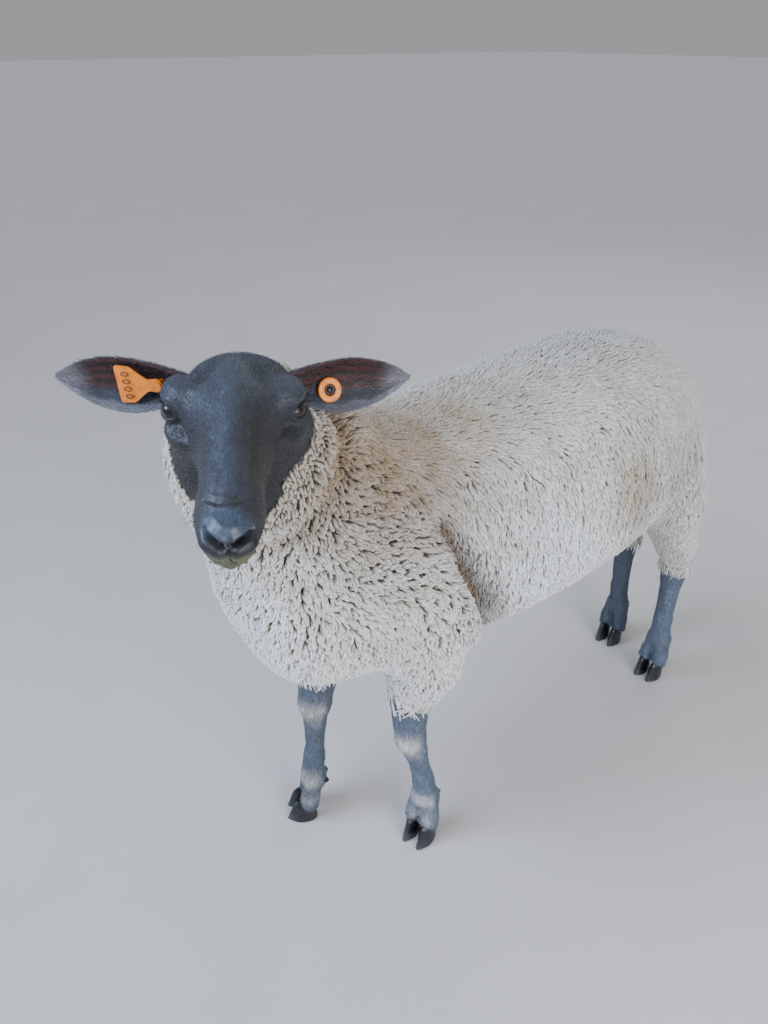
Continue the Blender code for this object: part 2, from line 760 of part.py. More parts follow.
def flag_panel(frame):
    """The flag's flat outline as a filled 2D curve, given its thickness."""
    low, high = FLAG_FACE
    outline = FLAG + [(x, -half) for x, half in FLAG[::-1]]
    curve = bpy.data.curves.new("flag", "CURVE")
    curve.dimensions = "2D"
    curve.fill_mode = "BOTH"
    curve.extrude = (high - low) / 2
    spline = curve.splines.new("POLY")
    spline.points.add(len(outline) - 1)
    for point, (x, y) in zip(spline.points, outline):
        point.co = (x, y, 0, 1)
    spline.use_cyclic_u = True
    drawn = bpy.data.objects.new("flag", curve)
    bpy.data.collections["guides"].objects.link(drawn)
    mesh = evaluated(drawn)
    bpy.data.objects.remove(drawn)
    mesh.transform(frame @ Matrix.Translation((0, 0, (low + high) / 2)))
    return welded(mesh, 0.00001)


def tag_pin(frame, backing, top):
    """The back of a tag: a disc behind the ear and the pin through it."""
    pin = drum(frame, PIN, BACKING[0] + 0.0004, top, 10)
    return boolean(drum(frame, backing, *BACKING), pin, "UNION")


def make_tags(finish):
    """The flag in the right ear and the button in the left, each with its pinned back."""
    flag = tag_frame(-1, *FLAG_AT)
    boss_back = FLAG_FACE[0] - 0.0012
    boss = drum(flag, BOSS, boss_back, FLAG_FACE[1] + 0.0018)
    panel = boolean(flag_panel(flag), boss, "UNION")
    add_part("tag_flag_panel", panel, finish)
    add_part("tag_flag_pin", tag_pin(flag, FLAG_BACKING, boss_back - GAP), finish)
    button = tag_frame(1, *BUTTON_AT)
    face = drum(button, BUTTON, *BUTTON_FACE, 24)
    well = drum(button, BUTTON_WELL, BUTTON_FACE[1] - 0.0014, BUTTON_FACE[1] + 0.01)
    add_part("tag_round_face", boolean(face, well, "DIFFERENCE"), finish)
    add_part("tag_round_pin", tag_pin(button, BUTTON_BACKING, BUTTON_FACE[0] - GAP), finish)


def tag_hole(side):
    frame = tag_frame(side, *(BUTTON_AT if side > 0 else FLAG_AT))
    return drum(frame, HOLE, -0.02, 0.02, 12)


def main():
    for old in list(bpy.data.objects):
        bpy.data.objects.remove(old)
    collection("sheep")
    collection("guides")
    add_guide("midline", None).location.x = MIDLINE_X
    finishes = {
        "wool": material("wool", WOOL, 0.95),
        "face": material("face_hair", FACE, 0.6),
        "leg": material("leg_hair", LEG, 0.7),
        "eye": material("eye", EYE, 0.1),
        "horn": material("horn", HORN, 0.5),
        "tag": material("tag_plastic", TAG, 0.4),
    }
    flesh = make_flesh(finishes)
    make_tail(flesh, finishes["wool"])
    make_feet(flesh, finishes["horn"])
    for side, which in ((1, "left"), (-1, "right")):
        add_part("eye_" + which, eyeball(side), finishes["eye"])
        make_ear(side, which, flesh, finishes["face"])
    make_tags(finishes["tag"])


main()
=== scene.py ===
import math

import bmesh
import bpy
import numpy as np
from mathutils import Matrix, Vector
from mathutils.bvhtree import BVHTree
from mathutils.kdtree import KDTree


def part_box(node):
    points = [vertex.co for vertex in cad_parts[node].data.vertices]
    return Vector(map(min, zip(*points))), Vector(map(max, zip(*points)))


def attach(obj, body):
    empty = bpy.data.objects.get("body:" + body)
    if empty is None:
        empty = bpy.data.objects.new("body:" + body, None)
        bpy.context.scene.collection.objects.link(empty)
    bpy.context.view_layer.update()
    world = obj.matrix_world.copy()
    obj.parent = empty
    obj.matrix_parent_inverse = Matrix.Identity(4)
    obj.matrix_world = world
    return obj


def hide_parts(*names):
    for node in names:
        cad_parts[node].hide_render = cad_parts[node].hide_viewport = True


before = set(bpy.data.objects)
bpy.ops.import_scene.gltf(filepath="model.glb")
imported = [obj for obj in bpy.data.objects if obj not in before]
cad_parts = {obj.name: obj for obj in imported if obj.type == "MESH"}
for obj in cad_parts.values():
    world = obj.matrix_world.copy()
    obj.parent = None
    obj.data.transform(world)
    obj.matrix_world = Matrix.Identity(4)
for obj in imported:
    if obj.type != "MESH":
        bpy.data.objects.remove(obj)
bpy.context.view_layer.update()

# ---------------------------------------------------------------- skin
# The hide of the whole animal in one piece, from the nose to the tail. It starts as the solids
# of the flesh welded together, is cut finer where it is bare, and is drawn in by the depth of
# the coat. Folds, lids, nostrils and mouth are then pressed into the head.
BODY = "root"
BARE = ("head", "fore_shank", "hind_shank")  # nodes in short hair; the others are in wool
FLESH = ("trunk", "neck", "tail", "fore_leg", "hind_leg") + BARE
SEAM = 0.0004  # the solids are grown by this, to close the thin cuts between them
WOOL_DEPTH, LEG_WOOL, TAIL_WOOL = 0.012, 0.010, 0.008
HAIR_DEPTH = 0.0012
COARSE = 0.0062  # spacing of the hide's mesh under the wool

# The head's frame: X to its left, -Y to the muzzle, Z up, from a point between the eyes
HEAD_TURN = [(61, "Z"), (-3.5, "X"), (3, "Y")]
EYE_AT = Vector((0.0525, -0.006, 0.006))


def middle(node):
    low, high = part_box(node)
    return (Vector(low) + Vector(high)) / 2


HEAD = Matrix()
for degrees, axis in HEAD_TURN:
    HEAD = HEAD @ Matrix.Rotation(math.radians(degrees), 4, axis)
between = (middle("eye_left") + middle("eye_right")) / 2
HEAD = Matrix.Translation(between) @ HEAD @ Matrix.Translation((0, -EYE_AT.y, -EYE_AT.z))


def turned(matrix, points):
    """Every point carried by a 4 by 4 matrix."""
    matrix = np.array(matrix)
    return points @ matrix[:3, :3].T + matrix[:3, 3]


def in_head(points, mirrored=True):
    """Points in the head's frame, the right half folded onto the left."""
    local = turned(HEAD.inverted(), points)
    if mirrored:
        local[:, 0] = np.abs(local[:, 0])
    return local


def unit(vectors):
    return vectors / np.maximum(np.linalg.norm(vectors, axis=-1, keepdims=True), 1e-9)


def smooth(low, high, value):
    """0 below low, 1 above high, and a soft step between them: 3t^2 - 2t^3."""
    t = np.clip((value - low) / (high - low), 0, 1)
    return t * t * (3 - 2 * t)


def read(collection, name, width, kind=np.float32):
    flat = np.empty(len(collection) * width, kind)
    collection.foreach_get(name, flat)
    return flat.reshape(-1, width) if width > 1 else flat


def points_of(mesh):
    return read(mesh.vertices, "co", 3).astype(float)


def mesh_from(name, points, faces):
    """A mesh of points and faces that all have as many corners."""
    mesh = bpy.data.meshes.new(name)
    mesh.vertices.add(len(points))
    mesh.vertices.foreach_set("co", points.astype(np.float32).ravel())
    mesh.loops.add(faces.size)
    mesh.loops.foreach_set("vertex_index", faces.astype(np.int32).ravel())
    mesh.polygons.add(len(faces))
    starts = np.arange(0, faces.size, faces.shape[1], dtype=np.int32)
    mesh.polygons.foreach_set("loop_start", starts)
    mesh.update(calc_edges=True)
    return mesh


def solid_of(node):
    """A node's corners and triangles, with its loose triangles welded at their corners."""
    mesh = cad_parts[node].data
    points = points_of(mesh)
    corners = read(mesh.loops, "vertex_index", 1, np.int32)
    _, first, back = np.unique(
        np.round(points, 6), axis=0, return_index=True, return_inverse=True
    )
    return points[first], back.ravel()[corners].reshape(-1, 3)


def merged(nodes, grow=0.0):
    """Several nodes as one array of points and one of triangles, and each triangle's node."""
    points, faces, owner = [], [], []
    for number, node in enumerate(nodes):
        corners, triangles = solid_of(node)
        if grow:
            loose = mesh_from("loose", corners, triangles)
            corners = corners + read(loose.vertex_normals, "vector", 3) * grow
            bpy.data.meshes.remove(loose)
        faces.append(triangles + sum(map(len, points)))
        points.append(corners)
        owner += [number] * len(triangles)
    return np.concatenate(points), np.concatenate(faces), np.array(owner)


def tree_of(points, faces):
    return BVHTree.FromPolygons(points.tolist(), faces.tolist())


def nearest(tree, points):
    """For each point, the closest place on a tree's surface, its distance and its triangle."""
    found = [tree.find_nearest(p) for p in points.tolist()]
    place = np.array([f[0] for f in found])
    return place, np.array([f[3] for f in found]), np.array([f[2] for f in found])


def evaluated(mesh, kind, **settings):
    """A mesh after one modifier."""
    worked = bpy.data.objects.new("worked", mesh)
    bpy.context.scene.collection.objects.link(worked)
    modifier = worked.modifiers.new("step", kind)
    for name, value in settings.items():
        setattr(modifier, name, value)
    bpy.context.view_layer.update()
    graph = bpy.context.evaluated_depsgraph_get()
    made = bpy.data.meshes.new_from_object(worked.evaluated_get(graph))
    bpy.data.objects.remove(worked)
    return made


def eased(values, edges, rounds, share=0.5):
    """Each vertex's values move towards the mean of its neighbours', round after round."""
    values = values.reshape(len(values), -1)
    start, end = edges.T
    count = np.maximum(np.bincount(edges.ravel(), minlength=len(values)), 1)[:, None]
    for _ in range(rounds):
        total = np.stack(
            [
                np.bincount(start, column[end], len(values))
                + np.bincount(end, column[start], len(values))
                for column in values.T
            ],
            axis=1,
        )
        values = values + share * (total / count - values)
    return values


def place(mesh, points):
    mesh.vertices.foreach_set("co", points.astype(np.float32).ravel())
    mesh.update()


def refine(mesh, wanted):
    """Every face whose middle is wanted is cut in four."""
    bm = bmesh.new()
    bm.from_mesh(mesh)
    centres = np.array([face.calc_center_median() for face in bm.faces])
    chosen = wanted(centres)
    edges = {edge for face, take in zip(bm.faces, chosen) if take for edge in face.edges}
    bmesh.ops.subdivide_edges(bm, edges=list(edges), cuts=1, use_grid_fill=True)
    bm.to_mesh(mesh)
    bm.free()


nodes = [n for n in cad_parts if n.startswith(FLESH)] + ["eye_left", "eye_right"]
outer_points, outer_faces, outer_node = merged(nodes, SEAM)
outer = tree_of(outer_points, outer_faces)
bare_nodes = np.array([n.startswith(BARE + ("eye",)) for n in nodes])
head_nodes = np.array([n.startswith(("head", "eye")) for n in nodes])


def owners(points, marked):
    """Which points lie nearest to a node that is marked."""
    return marked[outer_node[nearest(outer, points)[2]]]


def near_eye(points, reach):
    return np.linalg.norm(in_head(points) - np.array(EYE_AT), axis=1) < reach


def near_mouth(points):
    local = in_head(points)
    return (local[:, 1] < -0.128) & owners(points, head_nodes)


hide = evaluated(
    mesh_from("hide", outer_points, outer_faces), "REMESH", mode="VOXEL", voxel_size=COARSE
)
FINER = [
    lambda centres: owners(centres, bare_nodes),
    lambda centres: near_mouth(centres) | near_eye(centres, 0.034),
    lambda centres: near_eye(centres, 0.0185),
]
for wanted in FINER:
    refine(hide, wanted)
    skin = points_of(hide)
    edges = read(hide.edges, "vertices", 2, np.int32)
    bare = owners(skin, bare_nodes)
    skin[bare] = nearest(outer, skin[bare])[0]
    place(hide, eased(skin, edges, 2))
skin = points_of(hide)
on_shank = owners(skin, np.array([n.startswith(BARE[1:]) for n in nodes]))
skin = eased(skin, edges, 4, np.where(on_shank, 0.0, 0.5)[:, None])
snapped = nearest(outer, skin)[0]
skin[on_shank] = snapped[on_shank]
place(hide, eased(skin, edges, 1))

# The outline of the coat, and how deep the coat is under each of its points
MIDLINE_X = -0.0287
SHORT_CUFF = 0.026  # the left foreleg is bare that much higher
OUTLINE = points_of(hide)
hide.calc_loop_triangles()
HIDE_FACES = read(hide.loop_triangles, "vertices", 3, np.int32)
bare_solid = tree_of(*merged([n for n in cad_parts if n.startswith(BARE)])[:2])
head_solid = tree_of(*solid_of("head"))
tail_solid = tree_of(*solid_of("tail"))
is_bare = owners(OUTLINE, bare_nodes)
from_bare = np.where(is_bare, 0, nearest(bare_solid, OUTLINE)[1])
short_cuff = (OUTLINE[:, 0] > MIDLINE_X) & (OUTLINE[:, 1] < 0) & (OUTLINE[:, 2] < 0.33)
from_bare = np.maximum(from_bare - SHORT_CUFF * short_cuff, 0)
is_bare = is_bare | (from_bare == 0)
from_head = np.where(is_bare, 0, nearest(head_solid, OUTLINE)[1])
from_tail = nearest(tail_solid, OUTLINE)[1]
wool = eased(1.0 - is_bare, edges, 3)[:, 0]


def distance_to(path, points):
    """Distance from each point to a line through a few corners."""
    best = np.full(len(points), 9.0)
    for a, b in zip(path, path[1:]):
        t = np.clip((points - a) @ (b - a) / ((b - a) @ (b - a)), 0, 1)
        best = np.minimum(best, np.linalg.norm(points - a - t[:, None] * (b - a), axis=1))
    return best


# Folds of the woolly body on its left: a path in metres, half width and height. The right
# foreleg stands further ahead, so its folds do too.
RIGHT_AHEAD = -0.035
FOLDS = {
    "behind_elbow": (
        [(0.122, -0.157, 0.570), (0.124, -0.143, 0.542), (0.124, -0.124, 0.506)]
        + [(0.120, -0.110, 0.470), (0.110, -0.100, 0.440)],
        0.015,
        -0.034,
    ),
    "behind_shoulder": ([(0.110, -0.190, 0.630), (0.122, -0.157, 0.570)], 0.013, -0.006),
    "shoulder": ([(0.10, -0.250, 0.59), (0.115, -0.220, 0.55), (0.11, -0.190, 0.49)], 0.040, 0.014),
    "elbow": ([(0.120, -0.170, 0.55), (0.118, -0.155, 0.48)], 0.020, 0.012),
    "breast": ([(0.045, -0.400, 0.56), (0.06, -0.37, 0.47)], 0.045, 0.004),
}
COLLAR = ((0.016, 0.009, 0.008), (0.036, 0.008, -0.005))  # off the head, half width, height


def folded(mesh, points):
    """The outline with its folds: each moves it by height * exp(-(distance / width)^2)."""
    normal = read(mesh.vertex_normals, "vector", 3).astype(float)
    lift = np.zeros(len(points))
    across = np.column_stack((2 * MIDLINE_X - points[:, 0], points[:, 1] - RIGHT_AHEAD, points[:, 2]))
    for path, width, height in FOLDS.values():
        path = np.array(path)
        away = np.minimum(distance_to(path, points), distance_to(path, across)) / width
        lift += height * np.exp(-(away**2))
    for off, width, height in COLLAR:
        ring = np.exp(-(((from_head - off) / width) ** 2))
        lift += height * ring * smooth(0.58, 0.66, points[:, 2])
    return points + normal * (lift * smooth(0.3, 0.8, wool))[:, None]


OUTLINE = folded(hide, OUTLINE)
place(hide, OUTLINE)
coat = LEG_WOOL + (WOOL_DEPTH - LEG_WOOL) * smooth(0.28, 0.42, OUTLINE[:, 2])
coat = TAIL_WOOL + (coat - TAIL_WOOL) * smooth(0.0, 0.02, from_tail)
coat = HAIR_DEPTH + (coat - HAIR_DEPTH) * smooth(0, 0.020, from_bare)
coat = coat + 0.003 * short_cuff * is_bare * smooth(0.20, 0.23, OUTLINE[:, 2])
normals = read(hide.vertex_normals, "vector", 3).astype(float)
skin = eased(OUTLINE - normals * coat[:, None], edges, 3, np.where(is_bare, 0, 0.5)[:, None])


# Strokes on the head, mirrored: a path over its surface, half width and height in millimetres
STROKES = {
    "nostril": ([(20, -166, -25), (13, -174, -30), (4, -179, -35)], 2.2, -9.0),
    "nostril_deep": ([(16, -171, -29), (10, -176, -32)], 2.4, -5.0),
    "lip_lobe": ([(19, -171, -39), (11, -176, -41)], 8.0, 3.4),
    "chin": ([(0, -160, -58), (12, -158, -56)], 9.0, 2.5),
    "lip_side": ([(27, -158, -36), (29, -140, -36)], 8.0, 1.2),
    "nostril_wing": ([(20, -167, -22), (13, -175, -26), (6, -178, -29)], 3.2, 0.8),
    "philtrum": ([(0, -179, -36), (0, -176, -44), (0, -169, -53)], 1.2, -3.0),
    "mouth": (
        [(0, -168, -52), (8, -171, -50), (16, -169, -46), (24, -158, -40), (28, -136, -42)],
        2.0,
        -4.0,
    ),
    "nose_roll": ([(17, -150, -15), (9, -158, -11), (0, -160, -10)], 2.0, 1.3),
    "nose_crease": ([(18, -146, -13), (9, -154, -9.5), (0, -156, -9)], 1.3, -1.1),
    "upper_roll": ([(16, -142, -11), (9, -149, -8), (0, -151, -7)], 2.0, 0.8),
    "tear_slit": ([(49, -26, -3), (45, -32, -7), (40, -40, -12)], 3.0, -1.8),
    "tear_fold": ([(46, -24, 1), (38, -36, -4), (32, -50, -10)], 5.0, 0.4),
    "tear_rim": ([(52, -26, -8), (46, -37, -13), (38, -52, -19)], 5.0, 0.5),
    "face_vein": ([(38, -48, 2), (33, -72, -8), (30, -98, -20), (27, -120, -26)], 2.0, 0.8),
    "face_crest": ([(50, -26, -24), (43, -58, -30), (35, -92, -34)], 6.0, 1.6),
    "cheek_fold": ([(31, -128, -44), (33, -105, -46), (35, -80, -50)], 2.5, -1.0),
    "poll": ([(0, 6, 44), (0, 30, 42)], 11.0, 2.6),
    "brow_line": ([(24, -38, 36), (31, -20, 38), (36, 2, 36)], 2.6, -0.6),
    "brow_line_2": ([(14, -36, 38), (19, -18, 41), (24, 2, 42)], 2.6, -0.5),
    "brow_roll": ([(30, -40, 32), (38, -20, 34)], 5.0, 0.6),
    "poll_peak": ([(0, 16, 46), (0, -12, 43)], 9.0, 2.2),
    "poll_dip": ([(24, 18, 42), (28, -8, 38)], 10.0, -6.5),
    "poll_side": ([(38, 26, 36), (42, 4, 34)], 10.0, -3.6),
    "lid_fold": ([(60, -24, 20), (63, -4, 22), (60, 12, 20)], 3.0, 1.2),
    "bridge_edge": ([(17, -48, 28), (15, -85, 12), (13, -122, -5)], 5.0, 1.0),
}
MILLIMETRE = 0.001
CLEFT, CLAW_MOUND = (0.0050, -0.0075), (0.011, 0.0045)  # half width, height


def pressed(mesh, points):
    """The head with its strokes: each moves the skin by height * exp(-(distance / width)^2)."""
    place(mesh, points)
    normal = read(mesh.vertex_normals, "vector", 3).astype(float)
    mesh.calc_loop_triangles()
    surface = tree_of(points, read(mesh.loop_triangles, "vertices", 3, np.int32))
    local = in_head(points)
    lift = np.zeros(len(points))
    for path, width, height in STROKES.values():
        on_skin = nearest(surface, turned(HEAD, np.array(path, float) * MILLIMETRE))[0]
        away = distance_to(in_head(on_skin), local) / (width * MILLIMETRE)
        lift += height * MILLIMETRE * np.exp(-(away**2))
    return points + normal * (lift * smooth(0.9, 0.2, wool))[:, None]


def cleft(mesh, points):
    """The pasterns parted above the claws: a groove of CLEFT down the front of each foot.

    Its line runs from between the claws up the front, away from the dewclaws, and the skin
    rises round each dewclaw by CLAW_MOUND.
    """
    surface = tree_of(points, HIDE_FACES)
    normal = read(mesh.vertex_normals, "vector", 3).astype(float)
    for foot_name in ("fore_left", "fore_right", "hind_left", "hind_right"):
        ends = []
        for kind in ("claw", "dewclaw"):
            mine = [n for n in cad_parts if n.startswith(kind + "_") and foot_name in n]
            ends.append(np.mean([solid_of(n)[0].mean(axis=0) for n in mine], axis=0))
        ahead = unit((ends[0] - ends[1])[None])[0] * (1, 1, 0)
        line = [ends[0] * (1, 1, 0) + ahead * 0.05 + (0, 0, h) for h in (0.025, 0.045, 0.065)]
        line[1:] = [at - ahead * k for at, k in zip(line[1:], (0.012, 0.026))]
        away = distance_to(nearest(surface, np.array(line))[0], points) / CLEFT[0]
        points = points + normal * CLEFT[1] * np.exp(-(away**2))[:, None]
        for dewclaw in mine:
            middle_at = solid_of(dewclaw)[0].mean(axis=0)
            away = np.linalg.norm(points - middle_at, axis=1) / CLAW_MOUND[0]
            points = points + normal * CLAW_MOUND[1] * np.exp(-(away**2))[:, None]
    return points


skin = pressed(hide, skin)

# The muzzle hangs a little longer than the solid, its end is rounded off and its lips narrow
# to the chin
x, y, z = in_head(skin, False).T
drop = smooth(-0.125, -0.172, y) * smooth(0.9, 0.2, wool)
chin = smooth(-0.034, -0.056, z) * smooth(-0.12, -0.15, y) * smooth(0.9, 0.2, wool)
x = x * (1 - 0.34 * chin) * (1 - 0.30 * smooth(-0.164, -0.184, y) * smooth(0.9, 0.2, wool))
skin = turned(HEAD, np.column_stack((x, y - 0.0015 * drop, z - 0.005 * drop)))
skin = cleft(hide, skin)

# ---------------------------------------------------------------- eyelids
# The lids are skin that wraps the eyeball: two folds meeting in a long slanting slit, with a
# crease above and two wrinkles below. Inside the slit the skin sinks behind the eyeball.
EYEBALL = 0.0126  # radius
LID = 0.0014
SLIT_LENGTH, SLIT_ABOVE, SLIT_BELOW = 0.0108, 0.0066, 0.0056  # halves
EYE_OUT = Vector((0.82, -0.56, 0.10)).normalized()
EYE_BACK = Vector((0.42, 0.86, 0.28))  # along the slit, to its outer corner
EYE_BACK = (EYE_BACK - EYE_OUT * EYE_BACK.dot(EYE_OUT)).normalized()
EYE_UP = EYE_BACK.cross(EYE_OUT)
if EYE_UP.z < 0:
    EYE_UP = -EYE_UP


def eye_axes(points):
    """Along the slit, up across it and outwards, from the middle of the nearer eye."""
    local = in_head(points) - np.array(EYE_AT)
    return local @ np.array(EYE_BACK), local @ np.array(EYE_UP), local @ np.array(EYE_OUT)


def slit(along, up):
    """How far inside the slit a place is: its half height is (1 - t^2)^0.8, t along it."""
    t = np.clip(1 - (along / SLIT_LENGTH) ** 2, 0, 1) ** 0.8
    return np.minimum(SLIT_ABOVE * t - up, up + SLIT_BELOW * t) - 0.002 * (t == 0)


def lidded(points):
    """Skin near an eye set on a ball: raised over it as lids, sunk behind it in the slit."""
    along, up, out = eye_axes(points)
    local = in_head(points, False)
    side = np.sign(local[:, :1])
    centre = np.array(EYE_AT) * np.column_stack((side, np.ones((len(points), 2))))
    offset = local - centre
    radius = np.linalg.norm(offset, axis=1)
    inside = slit(along, up)
    lid = EYEBALL + LID
    lid = lid + 0.0004 * np.exp(-(((inside + 0.0012) / 0.0011) ** 2))
    lid = lid - 0.0013 * np.exp(-(((up - 0.0105 + 25 * along**2) / 0.0010) ** 2))
    lid = lid - 0.0009 * np.exp(-(((up + 0.0098 - 20 * along**2) / 0.0009) ** 2))
    lid = lid - 0.0008 * np.exp(-(((up + 0.0125 - 15 * along**2) / 0.0009) ** 2))
    near = smooth(0.020, 0.0145, radius) * smooth(-0.004, 0.002, out)
    target = radius + near * (np.maximum(radius, lid) - radius)
    target = np.where(near > 0.9, np.minimum(target, lid + 0.004), target)
    sunk = (inside > 0) & (out > 0) & (radius < 0.022)
    target = np.where(sunk, EYEBALL - 0.0022 * smooth(0, 0.0006, inside) - 0.0001, target)
    moved = centre + offset * (target / radius)[:, None]
    return np.where((near > 0)[:, None], turned(HEAD, moved), points)


skin = lidded(skin)
place(hide, skin)


# ---------------------------------------------------------------- ears
# Each ear is a leaf of gristle under thin skin, curled into a tube at its root and open towards
# the tip, with low ridges along its hollow. It grows out of the hide, with no seam.
EAR_LENGTH, EAR_THICK = 0.138, 0.0026
EAR_BACK, EAR_DROP = math.radians(24), math.radians(1.5)
EAR_ROOT = (0.047, 0.032, 0.013)
EAR_SHARES = [0.0, 0.12, 0.30, 0.50, 0.72, 0.90, 1.0]
EAR_HALF_WIDTH = [0.022, 0.027, 0.032, 0.033, 0.026, 0.013, 0.002]
EAR_ARC = [2.2, 1.7, 1.25, 1.0, 0.80, 0.60, 0.40]
EAR_RIDGES = [(-0.48, 0.0009), (-0.16, 0.0013), (0.14, 0.0012), (0.46, 0.0010)]


def ease(x, knots, values):
    """A smooth curve through values at knots: cubic Hermite with central slopes."""
    knots, values = np.array(knots, float), np.array(values, float)
    slopes = np.gradient(values, knots)
    x = np.clip(x, knots[0], knots[-1])
    i = np.clip(np.searchsorted(knots, x) - 1, 0, len(knots) - 2)
    step = knots[i + 1] - knots[i]
    t = (x - knots[i]) / step
    rise = values[i + 1] - values[i]
    bend = (slopes[i] * (1 - t) - slopes[i + 1] * t) * step - rise * (1 - 2 * t)
    return values[i] + t * rise + t * (1 - t) * bend


def ear_frame(side):
    """X out along the ear, Y behind it, Z up across it."""
    out = Vector((side, 0, 0))
    out.rotate(Matrix.Rotation(side * EAR_BACK, 3, "Z"))
    out.z = -math.tan(EAR_DROP)
    out.normalize()
    up = (Vector((0, 0, 1)) - out * out.z).normalized()
    back = up.cross(out) * side
    x, y, z = EAR_ROOT
    turn = Matrix((out, back, up)).transposed().to_4x4()
    return HEAD @ Matrix.Translation((side * x, y, z)) @ turn


def ear_middle(share, across):
    """The ear's middle surface: an arc of half angle a and radius r is swept along its length."""
    arc = ease(share, EAR_SHARES, EAR_ARC)
    radius = ease(share, EAR_SHARES, EAR_HALF_WIDTH) / arc
    back = radius * (np.cos(arc * across) - np.cos(arc)) - 0.010 * share**2
    up = radius * np.sin(arc * across) - 0.004 * np.sin(np.pi * share)
    return np.stack((share * EAR_LENGTH, back, up), axis=-1)


def tube_faces(rings, around):
    """Quads between rings of as many points, closed round each ring."""
    row, column = np.meshgrid(np.arange(rings - 1), np.arange(around), indexing="ij")
    after = (column + 1) % around
    corners = (row * around + column, row * around + after)
    corners += ((row + 1) * around + after, (row + 1) * around + column)
    return np.stack(corners, axis=-1).reshape(-1, 4)


def closed_tube(name, rings):
    """A mesh of rings, with both ends closed by a flat face, facing outwards."""
    count, around = rings.shape[:2]
    mesh = mesh_from(name, rings.reshape(-1, 3), tube_faces(count, around))
    bm = bmesh.new()
    bm.from_mesh(mesh)
    bm.verts.ensure_lookup_table()
    bm.faces.new(bm.verts[:around])
    bm.faces.new(bm.verts[(count - 1) * around :])
    bmesh.ops.recalc_face_normals(bm, faces=bm.faces)
    if bm.calc_volume(signed=True) < 0:
        bmesh.ops.reverse_faces(bm, faces=bm.faces)
    bm.to_mesh(mesh)
    bm.free()
    return mesh


def ear(side, lengths=70, widths=34):
    """The middle surface set off by half the thickness to both sides, thinner to the rims."""
    share, across = np.meshgrid(
        np.linspace(0, 1, lengths) ** 0.9, np.sin(np.linspace(-1.5, 1.5, widths)), indexing="ij"
    )
    middle = ear_middle(share, across)
    over = np.gradient(middle, axis=1)
    along = np.gradient(middle, axis=0)
    back = unit(np.cross(over, along))
    back *= np.sign(back[:, widths // 2, 1].mean())
    half = EAR_THICK / 2 * (0.25 + 0.75 * np.sqrt(1 - across**6)) * (1 - 0.6 * share**4)
    front = half.copy()
    for at, height in EAR_RIDGES:
        ridge = np.exp(-(((across - at * (1 + 0.3 * share)) / 0.075) ** 2))
        front += height * ridge * smooth(0.02, 0.2, share) * smooth(0.92, 0.5, share)
    shell = (middle - back * front[..., None], middle + back * half[..., None])
    rings = np.concatenate((shell[0], shell[1][:, ::-1]), axis=1)
    return closed_tube("ear", turned(ear_frame(side), rings.reshape(-1, 3)).reshape(rings.shape))


def joined(mesh, other):
    """Two closed meshes as one."""
    cutter = bpy.data.objects.new("ear", other)
    bpy.context.scene.collection.objects.link(cutter)
    made = evaluated(mesh, "BOOLEAN", object=cutter, operation="UNION", solver="MANIFOLD")
    bpy.data.objects.remove(cutter)
    return made


bare_hide = tree_of(skin, HIDE_FACES)
ear_meshes = {side: ear(side) for side in (1, -1)}
whole = hide
for side in (1, -1):
    whole = joined(whole, ear_meshes[side])

# The crease between ear and head is rounded off
points = points_of(whole)
to_hide = nearest(bare_hide, points)[1]
ear_trees = {}
to_ear = np.full(len(points), 9.0)
for side in (1, -1):
    ear_meshes[side].calc_loop_triangles()
    triangles = read(ear_meshes[side].loop_triangles, "vertices", 3, np.int32)
    ear_trees[side] = tree_of(points_of(ear_meshes[side]), triangles)
    to_ear = np.minimum(to_ear, nearest(ear_trees[side], points)[1])
seam = smooth(0.007, 0.002, np.maximum(to_hide, to_ear))
whole_edges = read(whole.edges, "vertices", 2, np.int32)
points = eased(points, whole_edges, 12, seam[:, None] * 0.6)
place(whole, points)
ear_share = smooth(0.0, 0.004, to_hide) * (to_ear < 0.003)

# ---------------------------------------------------------------- hide colours and hair
# Face and legs are in short flat hair, slate black with a satin sheen, paler on knees and
# pasterns. A blue sheen is painted where the face is lit and a brown black shade where it is
# not, and each leg is painted lighter or darker as it is lit. Ears are pinkish dark inside.
# Under the wool the skin is a dull cream.
# The second colour is slate hair with a painted blue sheen of sky light, the third a brown black painted as
# shade.
SLATE, SHEEN_SLATE, SHADE_BROWN_BLACK = "#282B30", "#3C4552", "#140F0D"
EAR_PINK, EAR_DARK, EAR_RIM = "#47231F", "#120A09", "#77767C"
LEG_GREY, LEG_PALE, CHIN_OLIVE, NOSE = "#424C59", "#A9A6A0", "#54563A", "#3A4655"
UNDER_WOOL, LID_BLACK, LIP_BLACK = "#B5A994", "#0C0B0D", "#0E0F13"
# Painted light and shade on the legs: the near legs on the left are brightened, the far right hind leg
# darkened.
LEG_LIGHT_GAIN = {(True, True): 1.55, (True, False): 1.05, (False, True): 1.6, (False, False): 0.80}
EAR_BANDS = 6.0


def linear(colour):
    """An sRGB hex colour as linear red, green and blue."""
    value = np.array([int(colour[i : i + 2], 16) / 255 for i in (1, 3, 5)])
    return np.where(value <= 0.04045, value / 12.92, ((value + 0.055) / 1.055) ** 2.4)


def mixed(colours, other, share):
    """Colours moved towards another by each point's share."""
    other = linear(other) if isinstance(other, str) else other
    return colours + (other - colours) * np.clip(share, 0, 1)[:, None]


def noise(points, size, seed, waves=14):
    """Soft noise of about -1 to 1: the mean of sine waves of random heading, length and phase."""
    rng = np.random.default_rng(seed)
    heading = unit(rng.normal(size=(waves, 3))) * rng.uniform(0.6, 1.5, (waves, 1))
    wave = np.sin(points @ heading.T * (2 * np.pi / size) + rng.uniform(0, 6.28, waves))
    return wave.mean(axis=1) * 1.9


def spot(points, centre, radius):
    """1 at a place in metres, falling off softly over a radius: exp(-(distance / radius)^2)."""
    away = np.linalg.norm((points - np.array(centre)) / radius, axis=1)
    return np.exp(-(away**2))


